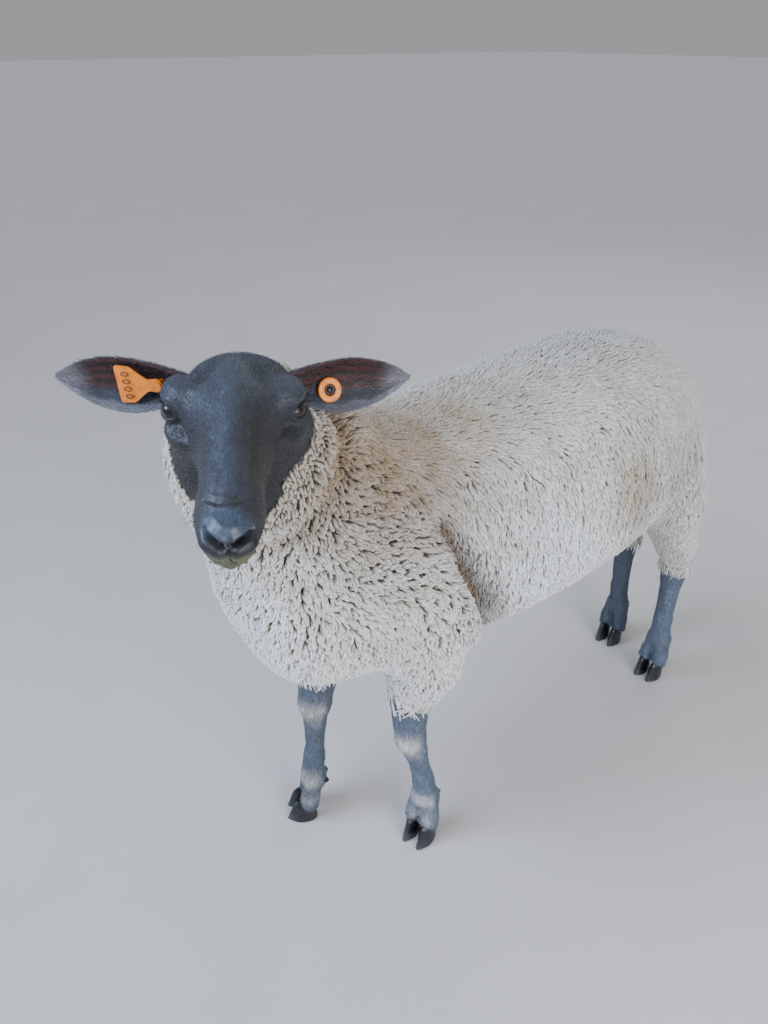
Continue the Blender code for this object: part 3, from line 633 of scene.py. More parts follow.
def lies(points, bare_head, bare_ear):
    """Coordinates in which the lie of the hair runs four times slower than across it."""
    local = in_head(points, False) * (1, 0.25, 1)
    on_ear = turned(ear_frame(1).inverted(), points * 1.0) * (0.25, 1, 1)
    other = turned(ear_frame(-1).inverted(), points * 1.0) * (0.25, 1, 1)
    on_ear = np.where(in_head(points, False)[:, :1] > 0, on_ear, other)
    down = points * (1, 1, 0.25)
    nap = np.where(bare_head[:, None] > 0.5, local, down)
    return np.where(bare_ear[:, None] > 0.5, on_ear, nap)


def hair_colour(points, on_head, on_ear, wool):
    """The colour of skin and short hair at each place, and how rough it is."""
    local = in_head(points)
    x, y, z = local.T
    local_x = in_head(points, False)[:, 0]
    colour = np.tile(linear(SLATE), (len(points), 1))
    # Painted blue sheen over the upper face, where it is lit from above
    colour = mixed(colour, SHEEN_SLATE, 0.55 * smooth(0.0, 0.04, z) * smooth(-0.13, -0.06, y))
    # Painted highlight: a bluer stripe down the middle of the face
    colour = mixed(colour, SHEEN_SLATE, 0.45 * smooth(0.02, 0.006, x) * (y > -0.15))
    # Painted shade round the tear pit, ahead of and below each eye
    colour = mixed(colour, SHADE_BROWN_BLACK, 0.7 * spot(local, (0.045, -0.04, -0.02), 0.03))
    # Painted shade on the lower face behind the muzzle, darker towards the jaw
    colour = mixed(colour, SHADE_BROWN_BLACK, 0.6 * smooth(-0.01, -0.06, z) * smooth(-0.15, -0.10, y))
    colour = mixed(colour, NOSE, smooth(-0.154, -0.168, y) * smooth(-0.040, -0.026, z))
    colour = mixed(colour, LIP_BLACK, 0.85 * smooth(-0.145, -0.160, y) * smooth(-0.032, -0.040, z))
    # Painted shade over the left side of the face, towards the muzzle, away from the light
    colour = mixed(colour, SHADE_BROWN_BLACK, 0.5 * smooth(0.0, 0.03, local_x) * smooth(-0.02, -0.07, y))
    colour = mixed(colour, CHIN_OLIVE, 0.95 * smooth(-0.046, -0.053, z) * smooth(-0.13, -0.145, y))
    # Painted highlight: a blue streak down the bridge, a little to the animal's right of its middle
    streak = spot(np.column_stack((local_x, y, 0 * y)), (-0.006, -0.10, 0), (0.007, 0.045, 1))
    colour = mixed(colour, SHEEN_SLATE, 0.8 * streak)
    shadow = spot(np.column_stack((local_x, y, 0 * y)), (0.019, -0.085, 0), (0.014, 0.05, 1))
    colour = mixed(colour, SHADE_BROWN_BLACK, 0.75 * shadow)
    inside = slit(*eye_axes(points)[:2])
    lid = np.exp(-(((inside + 0.0008) / 0.0022) ** 2)) * near_eye(points, 0.019)
    colour = mixed(colour, LID_BLACK, lid)
    leg = np.tile(linear(LEG_GREY), (len(points), 1))
    y_of, height = points[:, 1], points[:, 2]
    facing = np.zeros(len(points))
    for left in (True, False):
        mine = (y_of < 0) & (height < 0.34) & ((points[:, 0] > MIDLINE_X) == left)
        line = [np.polyval(np.polyfit(height[mine], points[mine, k], 3), height[mine]) for k in (0, 1)]
        offset = unit(points[mine, :2] - np.stack(line, axis=1))
        facing[mine] = smooth(-0.1, 0.7, offset @ np.array((0.35, -0.94)))
    for level, spread, share in ((0.222, 0.020, 0.90), (0.092, 0.014, 0.7), (0.052, 0.012, 0.35)):
        pale = np.exp(-(((height - level) / spread) ** 2))
        pale = pale * facing * (0.8 + 0.35 * noise(points, 0.04, 5))
        leg = mixed(leg, LEG_PALE, share * pale)
    # Painted light and shade: each leg's colour is scaled by how it is lit
    for (ahead, left), light_gain in LEG_LIGHT_GAIN.items():
        mine = ((points[:, 1] < 0) == ahead) & ((points[:, 0] > MIDLINE_X) == left)
        leg[mine] = leg[mine] * light_gain
    colour = np.where(on_head[:, None] > 0.5, colour, leg)
    inside = np.zeros(len(points))
    band = np.zeros(len(points))
    tip = np.zeros(len(points))
    for side in (1, -1):
        mine = in_head(points, False)[:, 0] * side > 0
        frame_ear = turned(ear_frame(side).inverted(), points)
        share = np.clip(frame_ear[:, 0] / EAR_LENGTH, 0, 1)
        half = ease(share, EAR_SHARES, EAR_HALF_WIDTH)
        arc = ease(share, EAR_SHARES, EAR_ARC)
        across = np.arcsin(np.clip(frame_ear[:, 2] / (half / arc), -1, 1)) / arc
        middle = ear_middle(share, across)
        inside = np.where(mine, smooth(0.0002, -0.0008, frame_ear[:, 1] - middle[:, 1]), inside)
        band = np.where(mine, across + 0.06 * noise(points, 0.02, 7), band)
        tip = np.where(mine, share, tip)
    ear_colour = np.tile(linear(EAR_DARK), (len(points), 1))
    bands = 0.5 + 0.5 * np.cos(EAR_BANDS * np.pi * band)
    ear_colour = mixed(ear_colour, EAR_PINK, inside * bands * smooth(1.0, 0.6, tip))
    rim = smooth(0.72, 0.98, np.abs(band)) + smooth(0.72, 0.95, tip)
    ear_colour = mixed(ear_colour, EAR_RIM, 0.7 * rim)
    # The back of each ear: slate hair with a painted blue sheen
    ear_colour = mixed(ear_colour, SHEEN_SLATE, 0.4 * (1 - inside))
    colour = mixed(colour, ear_colour, on_ear)
    colour = colour * (1 + 0.16 * noise(points, 0.024, 11) + 0.10 * noise(points, 0.008, 12))[:, None]
    rough = 0.52 + 0.08 * noise(points, 0.015, 14)
    wet = smooth(-0.160, -0.168, y) * smooth(-0.050, -0.030, z) * (on_head > 0.5)
    rough = rough - 0.16 * wet
    rough = rough + 0.2 * (on_head < 0.5) + 0.15 * on_ear
    colour = mixed(colour, UNDER_WOOL, smooth(0.3, 0.8, wool))
    return np.clip(colour, 0, 1), np.clip(rough + 0.3 * wool, 0.2, 1)


lookup = KDTree(len(skin))
for number, point in enumerate(skin.tolist()):
    lookup.insert(point, number)
lookup.balance()
matching = np.array([lookup.find(point)[1] for point in points.tolist()])
on_head_hide = owners(OUTLINE, head_nodes).astype(float)
whole_wool = np.where(to_ear < 0.003, wool[matching] * (ear_share < 0.1), wool[matching])
whole_head = on_head_hide[matching]
colour, rough = hair_colour(points, np.maximum(whole_head, ear_share), ear_share, whole_wool)


def paint(mesh, name, values, kind="FLOAT_COLOR"):
    """Values at the corners' points kept on the mesh under a name."""
    layer = mesh.attributes.new(name, kind, "POINT")
    if kind == "FLOAT_COLOR":
        values = np.column_stack((values, np.ones(len(values))))
        layer.data.foreach_set("color", values.astype(np.float32).ravel())
    elif kind == "FLOAT_VECTOR":
        layer.data.foreach_set("vector", values.astype(np.float32).ravel())
    else:
        layer.data.foreach_set("value", values.astype(np.float32).ravel())


def node(tree, kind, links=(), **settings):
    """A shader node with its settings, and what its inputs are linked to or set to."""
    made = tree.nodes.new("ShaderNode" + kind)
    for name, value in settings.items():
        setattr(made, name, value)
    for socket, value in dict(links).items():
        if isinstance(value, bpy.types.NodeSocket):
            tree.links.new(value, made.inputs[socket])
        else:
            made.inputs[socket].default_value = value
    return made


def finish_named(name):
    """An empty material, with its tree and its output."""
    made = bpy.data.materials.new(name)
    made.use_nodes = True
    made.node_tree.nodes.clear()
    return made, made.node_tree, made.node_tree.nodes.new("ShaderNodeOutputMaterial")


# The tint holds the painted sheen and shade of the face and the painted light and shade of the legs
paint(whole, "tint", colour)
paint(whole, "roughness", rough, "FLOAT")
paint(whole, "nap", lies(points, np.maximum(whole_head, ear_share), ear_share), "FLOAT_VECTOR")
whole.polygons.foreach_set("use_smooth", np.ones(len(whole.polygons), bool))

# Short flat hair: hairs of 0.05 mm lie in streaks about 1 mm wide and 5 mm long, drawn 1.6 mm
# wide so that they show. They give a satin sheen and break up every highlight.
short_hair, tree, output = finish_named("short_flat_hair")
tint = node(tree, "Attribute", attribute_name="tint")
nap = node(tree, "Attribute", attribute_name="nap")
roughness = node(tree, "Attribute", attribute_name="roughness")
streak = node(
    tree, "TexNoise", {"Vector": nap.outputs["Vector"], "Scale": 620, "Detail": 3, "Roughness": 0.6}
)
clump = node(
    tree, "TexNoise", {"Vector": nap.outputs["Vector"], "Scale": 190, "Detail": 2, "Roughness": 0.5}
)
shade = node(
    tree,
    "MapRange",
    {"Value": streak.outputs["Fac"], "From Min": 0.3, "From Max": 0.7, "To Min": 0.66, "To Max": 1.4},
)
patchy = node(
    tree,
    "MapRange",
    {"Value": clump.outputs["Fac"], "From Min": 0.3, "From Max": 0.7, "To Min": 0.82, "To Max": 1.2},
)
both = node(tree, "Math", {0: shade.outputs[0], 1: patchy.outputs[0]}, operation="MULTIPLY")
coloured = node(
    tree, "VectorMath", {0: tint.outputs["Color"], "Scale": both.outputs[0]}, operation="SCALE"
)
dry = node(
    tree,
    "MapRange",
    {"Value": roughness.outputs["Fac"], "From Min": 0.3, "From Max": 0.45, "To Min": 0.12, "To Max": 1},
)
streak_height = node(tree, "Math", {0: streak.outputs[0], 1: dry.outputs[0]}, operation="MULTIPLY")
clump_height = node(tree, "Math", {0: clump.outputs[0], 1: dry.outputs[0]}, operation="MULTIPLY")
relief = node(
    tree,
    "Bump",
    {"Height": streak_height.outputs[0], "Distance": 0.0006, "Strength": 0.5},
)
relief = node(
    tree,
    "Bump",
    {
        "Height": clump_height.outputs[0],
        "Distance": 0.0010,
        "Strength": 0.35,
        "Normal": relief.outputs[0],
    },
)
shader = node(
    tree,
    "BsdfPrincipled",
    {
        "Base Color": coloured.outputs[0],
        "Roughness": roughness.outputs["Fac"],
        "Normal": relief.outputs[0],
        "Sheen Weight": 0.05,
        "Sheen Roughness": 0.4,
        "Specular IOR Level": 0.5,
    },
)
tree.links.new(shader.outputs[0], output.inputs["Surface"])


def piece(name, mesh, material, slot, *replaced):
    """A finished piece on the body, in the place of CAD nodes."""
    made = bpy.data.objects.new(name, mesh)
    bpy.context.scene.collection.objects.link(made)
    mesh.materials.clear()
    mesh.materials.append(material)
    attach(made, BODY)
    if replaced:
        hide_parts(*replaced)
    return made


flesh_nodes = [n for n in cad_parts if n.startswith(FLESH + ("ear_",))]
piece("skin", whole, short_hair, "face_hair", *flesh_nodes)

# ---------------------------------------------------------------- eyes
# Each eye is a wet ball with a slot pupil lying level, a brown iris and a dark rim. The white
# of the eye hardly shows. The cornea bulges a little from the ball.
IRIS, IRIS_DEEP, PUPIL, EYE_WHITE = "#1C110A", "#0C0806", "#040405", "#231C1B"
IRIS_RADIUS, PUPIL_HALF = 0.0085, (0.0046, 0.0017)


def eyeball(side, rings=40, around=64):
    """A ball of latitudes about its outward axis, the cap within 45 degrees raised by 6%."""
    axis = Vector((side * EYE_OUT.x, EYE_OUT.y, EYE_OUT.z))
    across = Vector((side * EYE_BACK.x, EYE_BACK.y, EYE_BACK.z))
    turn = Matrix((across, axis.cross(across), axis)).transposed().to_4x4()
    tilt, spin = np.meshgrid(
        np.linspace(0.02, np.pi - 0.02, rings), np.arange(around) / around * 2 * np.pi, indexing="ij"
    )
    radius = EYEBALL * (1 + 0.05 * smooth(0.85, 0.0, tilt))
    ball = np.stack(
        (np.sin(tilt) * np.cos(spin), np.sin(tilt) * np.sin(spin), np.cos(tilt)), axis=-1
    )
    ball = (ball * radius[..., None]).reshape(-1, 3)
    centre = Matrix.Translation((side * EYE_AT.x, EYE_AT.y, EYE_AT.z))
    mesh = closed_tube("eye", turned(HEAD @ centre @ turn, ball).reshape(rings, around, 3))
    paint(mesh, "front", ball, "FLOAT_VECTOR")
    mesh.shade_smooth()
    return mesh


# A live eye is wet: a tear film with the gloss of water over a deep brown iris with fibres
# about 0.3 mm wide running out from the pupil.
wet_eye, tree, output = finish_named("wet_eye")
front = node(tree, "Attribute", attribute_name="front")
parts = node(tree, "SeparateXYZ", {0: front.outputs["Vector"]})
flat = node(tree, "CombineXYZ", {0: parts.outputs[0], 1: parts.outputs[1]})
radius = node(tree, "VectorMath", {0: flat.outputs[0]}, operation="LENGTH")
oval = node(
    tree,
    "VectorMath",
    {0: flat.outputs[0], 1: (1 / PUPIL_HALF[0], 1 / PUPIL_HALF[1], 0)},
    operation="MULTIPLY",
)
oval = node(tree, "VectorMath", {0: oval.outputs[0]}, operation="LENGTH")
pupil = node(
    tree,
    "MapRange",
    {"Value": oval.outputs["Value"], "From Min": 1.12, "From Max": 0.92, "To Min": 0, "To Max": 1},
)
rim = node(
    tree,
    "MapRange",
    {
        "Value": radius.outputs["Value"],
        "From Min": IRIS_RADIUS - 0.0022,
        "From Max": IRIS_RADIUS - 0.0004,
        "To Min": 0,
        "To Max": 1,
    },
)
white = node(
    tree,
    "MapRange",
    {
        "Value": radius.outputs["Value"],
        "From Min": IRIS_RADIUS - 0.0002,
        "From Max": IRIS_RADIUS + 0.0008,
        "To Min": 0,
        "To Max": 1,
    },
)
fibre = node(
    tree,
    "TexNoise",
    {
        "Vector": node(
            tree, "VectorMath", {0: flat.outputs[0]}, operation="NORMALIZE"
        ).outputs[0],
        "Scale": 9,
        "Detail": 4,
    },
)
iris = node(
    tree,
    "Mix",
    {0: fibre.outputs["Fac"], 6: (*linear(IRIS_DEEP), 1), 7: (*linear(IRIS), 1)},
    data_type="RGBA",
)
ringed = node(
    tree, "Mix", {0: rim.outputs[0], 6: iris.outputs[2], 7: (*linear(IRIS_DEEP), 1)}, data_type="RGBA"
)
slotted = node(
    tree, "Mix", {0: pupil.outputs[0], 6: ringed.outputs[2], 7: (*linear(PUPIL), 1)}, data_type="RGBA"
)
whole_eye = node(
    tree,
    "Mix",
    {0: white.outputs[0], 6: slotted.outputs[2], 7: (*linear(EYE_WHITE), 1)},
    data_type="RGBA",
)
shader = node(
    tree,
    "BsdfPrincipled",
    {
        "Base Color": whole_eye.outputs[2],
        "Roughness": 0.12,
        "IOR": 1.376,
        "Coat Weight": 0.5,
        "Coat Roughness": 0.02,
    },
)
tree.links.new(shader.outputs[0], output.inputs["Surface"])
for side, which in ((1, "left"), (-1, "right")):
    piece("eyeball_" + which, eyeball(side), wet_eye, "eye", "eye_" + which)

# ---------------------------------------------------------------- claws and dewclaws
# Each foot has two claws of horn, grown down from the coronet in faint rings, flat below, and
# two short dewclaws behind the fetlock. They are blue black, rubbed paler at the toe.
TOES = {
    "fore_left": ((0.087, 0.060), (0.075, 0.097)),
    "fore_right": ((-0.084, -0.064), (-0.062, -0.024)),
    "hind_left": ((0.066, 0.660), (0.062, 0.700)),
    "hind_right": ((-0.048, 0.680), (-0.056, 0.720)),
}
FRONT_TOES_Y = -0.2444
DIGIT_APART, CLAW_LENGTH, CLAW_WIDTH = 0.0125, 0.049, 0.0235
CROWN_LENGTH, CROWN_BACK = 0.034, 0.006
CROWN_FRONT, CROWN_HEEL = 0.038, 0.022
CROWN_SLOPE = (CROWN_FRONT - CROWN_HEEL) / CROWN_LENGTH
HORN, HORN_PALE, HORN_DARK = "#171B22", "#4A4C50", "#0B0D10"


def foot(name):
    """The frame of a foot on the ground: origin amid its claws, Y to the heel."""
    toe, fetlock = TOES[name]
    rake = Vector((*toe, 0)) - Vector((*fetlock, 0))
    tip = Vector((toe[0] + MIDLINE_X, toe[1] + FRONT_TOES_Y, 0))
    turn = Matrix.Rotation(math.atan2(rake.x, -rake.y), 4, "Z")
    return Matrix.Translation(tip - rake.normalized() * CLAW_LENGTH / 2) @ turn


def claw(name, side, rings=26, around=48):
    """Rings from the sole, rise 0, to the coronet, rise 1, and on into the skin.

    Each ring is an oval narrowed to the toe by 1 - 0.38 c^1.5 and flatter on its inner side. The
    lowest is rounded under, and growth rings swell it by 0.25 mm every 2.6 mm or so.
    """
    rise = np.linspace(0, 1.1, rings - 2)
    rise = np.concatenate(([0, 0.0], rise))
    angle = np.arange(around) / around * 2 * np.pi
    across, along = np.sin(angle), np.cos(angle)
    inner = np.where(across * side < 0, 0.80, 1.0)
    taper = 1 - 0.38 * np.maximum(-along, 0) ** 1.5
    rise = rise[:, None]
    sole = np.ones_like(rise)
    sole[0], sole[1] = 0.80, 0.93
    length = (CLAW_LENGTH + (CROWN_LENGTH - CLAW_LENGTH) * rise) * sole
    width = CLAW_WIDTH * (1.06 - 0.12 * rise) * sole
    growth = 0.00022 * np.sin(rise * 40 + 3 * along) * (rise > 0.08) * (rise < 0.97)
    tucked = 0.0022 * smooth(0.9, 1.1, rise)
    x = side * DIGIT_APART + across * (inner * taper * width / 2 + growth - tucked)
    y = along * (length / 2 + growth - tucked) + CROWN_BACK * rise
    level = (CROWN_FRONT + CROWN_HEEL) / 2 - (y - CROWN_BACK) * CROWN_SLOPE
    z = rise * level
    z[1] = 0.0006
    z[2] = 0.0022
    points = np.stack((x, y, z), axis=-1)
    mesh = closed_tube("claw", turned(foot(name), points.reshape(-1, 3)).reshape(points.shape))
    worn = smooth(-0.2, -1.0, along)[None, :] * smooth(0.7, 0.0, rise)
    paint(mesh, "grown", np.broadcast_to(rise, x.shape).ravel(), "FLOAT")
    paint(mesh, "worn", np.broadcast_to(worn, x.shape).ravel(), "FLOAT")
    mesh.shade_smooth()
    return mesh


# Horn is hard keratin, grown in layers: dull, with rings 2 to 3 mm apart and fine upright
# lines 0.8 mm apart, and a soft gloss where it is worn smooth.
horn, tree, output = finish_named("grown_claw_horn")
place_at = node(tree, "TexCoord")
grown = node(tree, "Attribute", attribute_name="grown")
worn = node(tree, "Attribute", attribute_name="worn")
wavy = node(tree, "TexNoise", {"Vector": place_at.outputs["Object"], "Scale": 90, "Detail": 3})
fine = node(tree, "TexNoise", {"Vector": place_at.outputs["Object"], "Scale": 700, "Detail": 2})
level = node(
    tree, "Math", {0: grown.outputs["Fac"], 1: 40.0, 2: wavy.outputs["Fac"]}, operation="MULTIPLY_ADD"
)
bands = node(tree, "Math", {0: level.outputs[0]}, operation="SINE")
band_share = node(
    tree,
    "MapRange",
    {"Value": bands.outputs[0], "From Min": -1, "From Max": 1, "To Min": 0.05, "To Max": 0.5},
)
dark = node(
    tree,
    "Mix",
    {0: band_share.outputs[0], 6: (*linear(HORN_DARK), 1), 7: (*linear(HORN), 1)},
    data_type="RGBA",
)
rubbed = node(
    tree,
    "Math",
    {0: worn.outputs["Fac"], 1: wavy.outputs["Fac"]},
    operation="MULTIPLY",
)
pale = node(
    tree, "Mix", {0: rubbed.outputs[0], 6: dark.outputs[2], 7: (*linear(HORN_PALE), 1)}, data_type="RGBA"
)
rough_horn = node(
    tree,
    "MapRange",
    {"Value": wavy.outputs["Fac"], "From Min": 0.3, "From Max": 0.7, "To Min": 0.24, "To Max": 0.42},
)
relief = node(tree, "Bump", {"Height": fine.outputs["Fac"], "Distance": 0.0004, "Strength": 0.4})
shader = node(
    tree,
    "BsdfPrincipled",
    {
        "Base Color": pale.outputs[2],
        "Roughness": rough_horn.outputs[0],
        "IOR": 1.54,
        "Normal": relief.outputs[0],
    },
)
tree.links.new(shader.outputs[0], output.inputs["Surface"])
for name in TOES:
    for sign, which in ((1, "outer"), (-1, "inner")):
        side = sign * (1 if name.endswith("left") else -1)
        piece(f"hoof_{name}_{which}", claw(name, side), horn, "horn", f"claw_{name}_{which}")
        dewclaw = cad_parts[f"dewclaw_{name}_{which}"]
        dewclaw.material_slots[0].material = horn

# ---------------------------------------------------------------- ear tags
# Two tags of moulded polyurethane, pinned through the ears: a bare flag in the right ear and
# a round button with a deep well in the left. They are orange, scuffed and a little dirty, and
# the button's well is painted near black as the shade of its hollow.
TAG_ORANGE, TAG_SHADE, TAG_DIRT, TAG_WELL_SHADE = "#F7902A", "#DF7416", "#6A4528", "#140D09"
TAG_INK = "#2A1A10"
# Radius and level, from the back's middle over the rim and down the well to the pin's head
BUTTON_PROFILE = np.array(
    [(0.0, 0.0), (12.0, 0.0), (12.75, 0.6), (12.75, 1.5), (12.2, 2.3), (11.2, 2.6), (7.4, 2.4)]
    + [(6.2, 2.1), (5.6, 1.4), (5.2, 0.5), (2.9, 0.5), (2.6, 1.5), (1.4, 1.9), (0.0, 1.9)]
)
DIGIT_AT, DIGIT_SIZE = 0.0300, (0.0045, 0.0025)  # along the flag; half height and half width

tag_plastic, tree, output = finish_named("moulded_tag_polyurethane")
place_at = node(tree, "TexCoord")
cloud = node(tree, "TexNoise", {"Vector": place_at.outputs["Object"], "Scale": 160, "Detail": 4})
grain = node(tree, "TexNoise", {"Vector": place_at.outputs["Object"], "Scale": 1400, "Detail": 2})
orange = node(
    tree,
    "Mix",
    {0: cloud.outputs["Fac"], 6: (*linear(TAG_SHADE), 1), 7: (*linear(TAG_ORANGE), 1)},
    data_type="RGBA",
)
dirt = node(
    tree,
    "MapRange",
    {"Value": cloud.outputs["Fac"], "From Min": 0.42, "From Max": 0.28, "To Min": 0, "To Max": 0.5},
)
soiled = node(
    tree, "Mix", {0: dirt.outputs[0], 6: orange.outputs[2], 7: (*linear(TAG_DIRT), 1)}, data_type="RGBA"
)
relief = node(tree, "Bump", {"Height": grain.outputs["Fac"], "Distance": 0.0002, "Strength": 0.3})
# The well's near black is painted shade of its hollow
well_shade = node(tree, "Attribute", attribute_name="well_shade")
soiled = node(
    tree, "Mix", {0: well_shade.outputs["Fac"], 6: soiled.outputs[2], 7: (*linear(TAG_WELL_SHADE), 1)}, data_type="RGBA"
)
shader = node(
    tree,
    "BsdfPrincipled",
    {
        "Base Color": soiled.outputs[2],
        "Roughness": 0.38,
        "IOR": 1.50,
        "Normal": relief.outputs[0],
    },
)
tree.links.new(shader.outputs[0], output.inputs["Surface"])
for name in ("tag_flag_panel", "tag_flag_pin", "tag_round_pin"):
    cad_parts[name].material_slots[0].material = tag_plastic


def tag_axes(face_name, pin_name):
    """A tag's plane: its middle, along it from its pin, across it, and out of its face."""
    points = solid_of(face_name)[0]
    pin = solid_of(pin_name)[0].mean(axis=0)
    low_high = points - points.mean(axis=0)
    out = np.linalg.svd(low_high, full_matrices=False)[2][2]
    out = out * np.sign((points.mean(axis=0) - pin) @ out)
    along = points.mean(axis=0) - pin
    along = unit((along - out * (along @ out))[None])[0]
    return points, pin, along, np.cross(out, along), out


def turned_button(around=48):
    """The button: BUTTON_PROFILE turned round the pin's axis, in millimetres from its back."""
    points, pin, along, across, out = tag_axes("tag_round_face", "tag_round_pin")
    back = ((points - points.mean(axis=0)) @ out).min()
    centre = points.mean(axis=0) + out * back
    spin = np.arange(around) / around * 2 * np.pi
    ring = np.cos(spin)[:, None] * along + np.sin(spin)[:, None] * across
    radius, level = np.maximum(BUTTON_PROFILE, 0.01).T * 0.001
    places = centre + radius[:, None, None] * ring + level[:, None, None] * out
    mesh = closed_tube("tag_round_body", places)
    # Marks the well for its painted shade
    well_shade_share = smooth(0.0066, 0.0054, radius) * (np.arange(len(radius)) > 5)
    paint(mesh, "well_shade", np.repeat(well_shade_share, around)[: len(mesh.vertices)], "FLOAT")
    mesh.shade_smooth()
    return mesh


piece("tag_round_body", turned_button(), tag_plastic, "tag_plastic", "tag_round_face")

# Plain noughts printed across the flag: flat rings of ink
ink, tree, output = finish_named("printed_ink")
grain = node(tree, "TexNoise", {"Scale": 900, "Detail": 2})
place_at = node(tree, "TexCoord")
tree.links.new(place_at.outputs["Object"], grain.inputs["Vector"])
worn_ink = node(
    tree,
    "Mix",
    {0: grain.outputs["Fac"], 6: (*linear(TAG_INK), 1), 7: (*linear("#5A3A1E"), 1)},
    data_type="RGBA",
)
shader = node(tree, "BsdfPrincipled", {"Base Color": worn_ink.outputs[2], "Roughness": 0.55})
tree.links.new(shader.outputs[0], output.inputs["Surface"])


def noughts(around=28):
    """Four oval rings of a square section on the flag's face, side by side."""
    points, pin, along, across, out = tag_axes("tag_flag_panel", "tag_flag_pin")
    start = pin + out * ((points - pin) @ out).max()
    spin = np.arange(around) / around * 2 * np.pi
    made_points, made_faces = [], []
    for number in range(4):
        middle_at = start + along * DIGIT_AT + across * (number - 1.5) * 0.0078
        rings = []
        for scale, lift in ((1.0, -0.0002), (1.0, 0.00015), (0.62, 0.00015), (0.62, -0.0002)):
            oval = np.cos(spin)[:, None] * along * DIGIT_SIZE[0] * (0.12 + 0.88 * scale)
            oval = oval + np.sin(spin)[:, None] * across * DIGIT_SIZE[1] * scale
            rings.append(middle_at + oval + out * lift)
        for k in range(4):
            for j in range(around):
                a, b = k * around + j, k * around + (j + 1) % around
                c, d = (k + 1) % 4 * around + (j + 1) % around, (k + 1) % 4 * around + j
                base = number * 4 * around
                made_faces += [(base + a, base + b, base + c), (base + a, base + c, base + d)]
        made_points.append(np.concatenate(rings))
    return mesh_from("tag_flag_number", np.concatenate(made_points), np.array(made_faces))


piece("tag_flag_number", noughts(), ink, "tag_plastic")

# ---------------------------------------------------------------- wool
# The fleece is a few months' growth after shearing: blunt locks about 4 mm thick and 15 to
# 20 mm long that grow out of the hide and bend over, clumped in staples with dark cracks between.
# It is cream, whitest low on the chest, stained brown over neck and shoulder.
ROOT_SPACING = 0.00375  # side of the cubes that hold one root each
LOCK_THICK = 0.0021  # half the width of a lock
STAPLE = 0.0072  # spacing of the staples
PATCH = 0.003  # side of a lock's place on the unwrap
# The root colour is both the yellower wool low in a lock and painted shade deep in the fleece.
WOOL_WHITE, WOOL_CREAM, WOOL_ROOT_AND_SHADE = "#EFF0EF", "#CDC8BC", "#B1A081"
# The first brown serves both the stains and a painted shade in the groove behind the collar; the third
# colour only makes the wool greyer over back and rump.
STAIN_AND_SHADE_BROWN, STAIN_TAN, GREYER_WOOL = "#8A693D", "#A78A5C", "#9A978E"
# Brown painted as the shade in the creases of the fleece
CREASE_SHADE_BROWN = "#6B5338"

# Where the patches lie, stains, painted crease shade and greyer wool: middle, radii along X, Y and Z,
# colour and strength
WOOL_PATCHES = [
    ((0.060, -0.280, 0.750), (0.09, 0.11, 0.07), STAIN_AND_SHADE_BROWN, 0.95),
    ((0.020, -0.184, 0.730), (0.10, 0.10, 0.06), STAIN_AND_SHADE_BROWN, 0.85),
    ((0.085, -0.235, 0.680), (0.06, 0.10, 0.07), STAIN_AND_SHADE_BROWN, 0.80),
    ((0.025, -0.080, 0.725), (0.10, 0.09, 0.05), STAIN_TAN, 0.70),
    ((0.020, 0.050, 0.740), (0.12, 0.12, 0.04), STAIN_TAN, 0.35),
    ((0.115, 0.125, 0.590), (0.06, 0.050, 0.06), STAIN_TAN, 0.85),
    # Painted crease shade on the left side ahead of the hind leg
    ((0.112, 0.165, 0.550), (0.06, 0.028, 0.05), CREASE_SHADE_BROWN, 0.55),
    # Greyer wool over the left side of the rump and the top of the back
    ((0.100, 0.260, 0.560), (0.07, 0.090, 0.12), GREYER_WOOL, 0.80),
    ((0.000, 0.280, 0.720), (0.20, 0.26, 0.12), GREYER_WOOL, 0.60),
    ((0.040, 0.440, 0.560), (0.14, 0.09, 0.14), STAIN_TAN, 0.60),
    ((-0.150, -0.050, 0.600), (0.04, 0.20, 0.10), STAIN_TAN, 0.25),
]
WHITE_AT = [
    ((0.040, -0.400, 0.500), (0.12, 0.10, 0.10)),
    ((0.120, 0.000, 0.510), (0.08, 0.17, 0.11)),
    ((0.020, -0.220, 0.380), (0.12, 0.14, 0.10)),
]


def rooted(points, faces, share, spacing, seed, tries=9):
    """Roots strewn over a surface in proportion to area times share, one to a cube of a grid.

    A triangle is picked in proportion to its area, and a place in it by two random numbers
    folded into its half. Returns the triangle and the three weights of each root.
    """
    rng = np.random.default_rng(seed)
    a, b, c = (points[faces[:, k]] for k in range(3))
    area = np.linalg.norm(np.cross(b - a, c - a), axis=1) / 2 * share[faces].mean(axis=1)
    count = int(area.sum() / spacing**2 * tries)
    pick = np.searchsorted(np.cumsum(area), rng.uniform(0, area.sum(), count))
    pick = np.minimum(pick, len(faces) - 1)
    u, v = rng.uniform(size=(2, count))
    fold = u + v > 1
    u[fold], v[fold] = 1 - u[fold], 1 - v[fold]
    weights = np.column_stack((1 - u - v, u, v))
    at = (points[faces[pick]] * weights[..., None]).sum(axis=1)
    cell = np.floor(at / spacing).astype(np.int64)
    _, first = np.unique(cell @ np.array([1, 4096, 16777216]), return_index=True)
    first.sort()
    return pick[first], weights[first]


def carried(values, faces, pick, weights):
    """Values at a mesh's points carried to places in its triangles."""
    values = values.reshape(len(values), -1)
    found = (values[faces[pick]] * weights[..., None]).sum(axis=1)
    return found if found.shape[1] > 1 else found[:, 0]


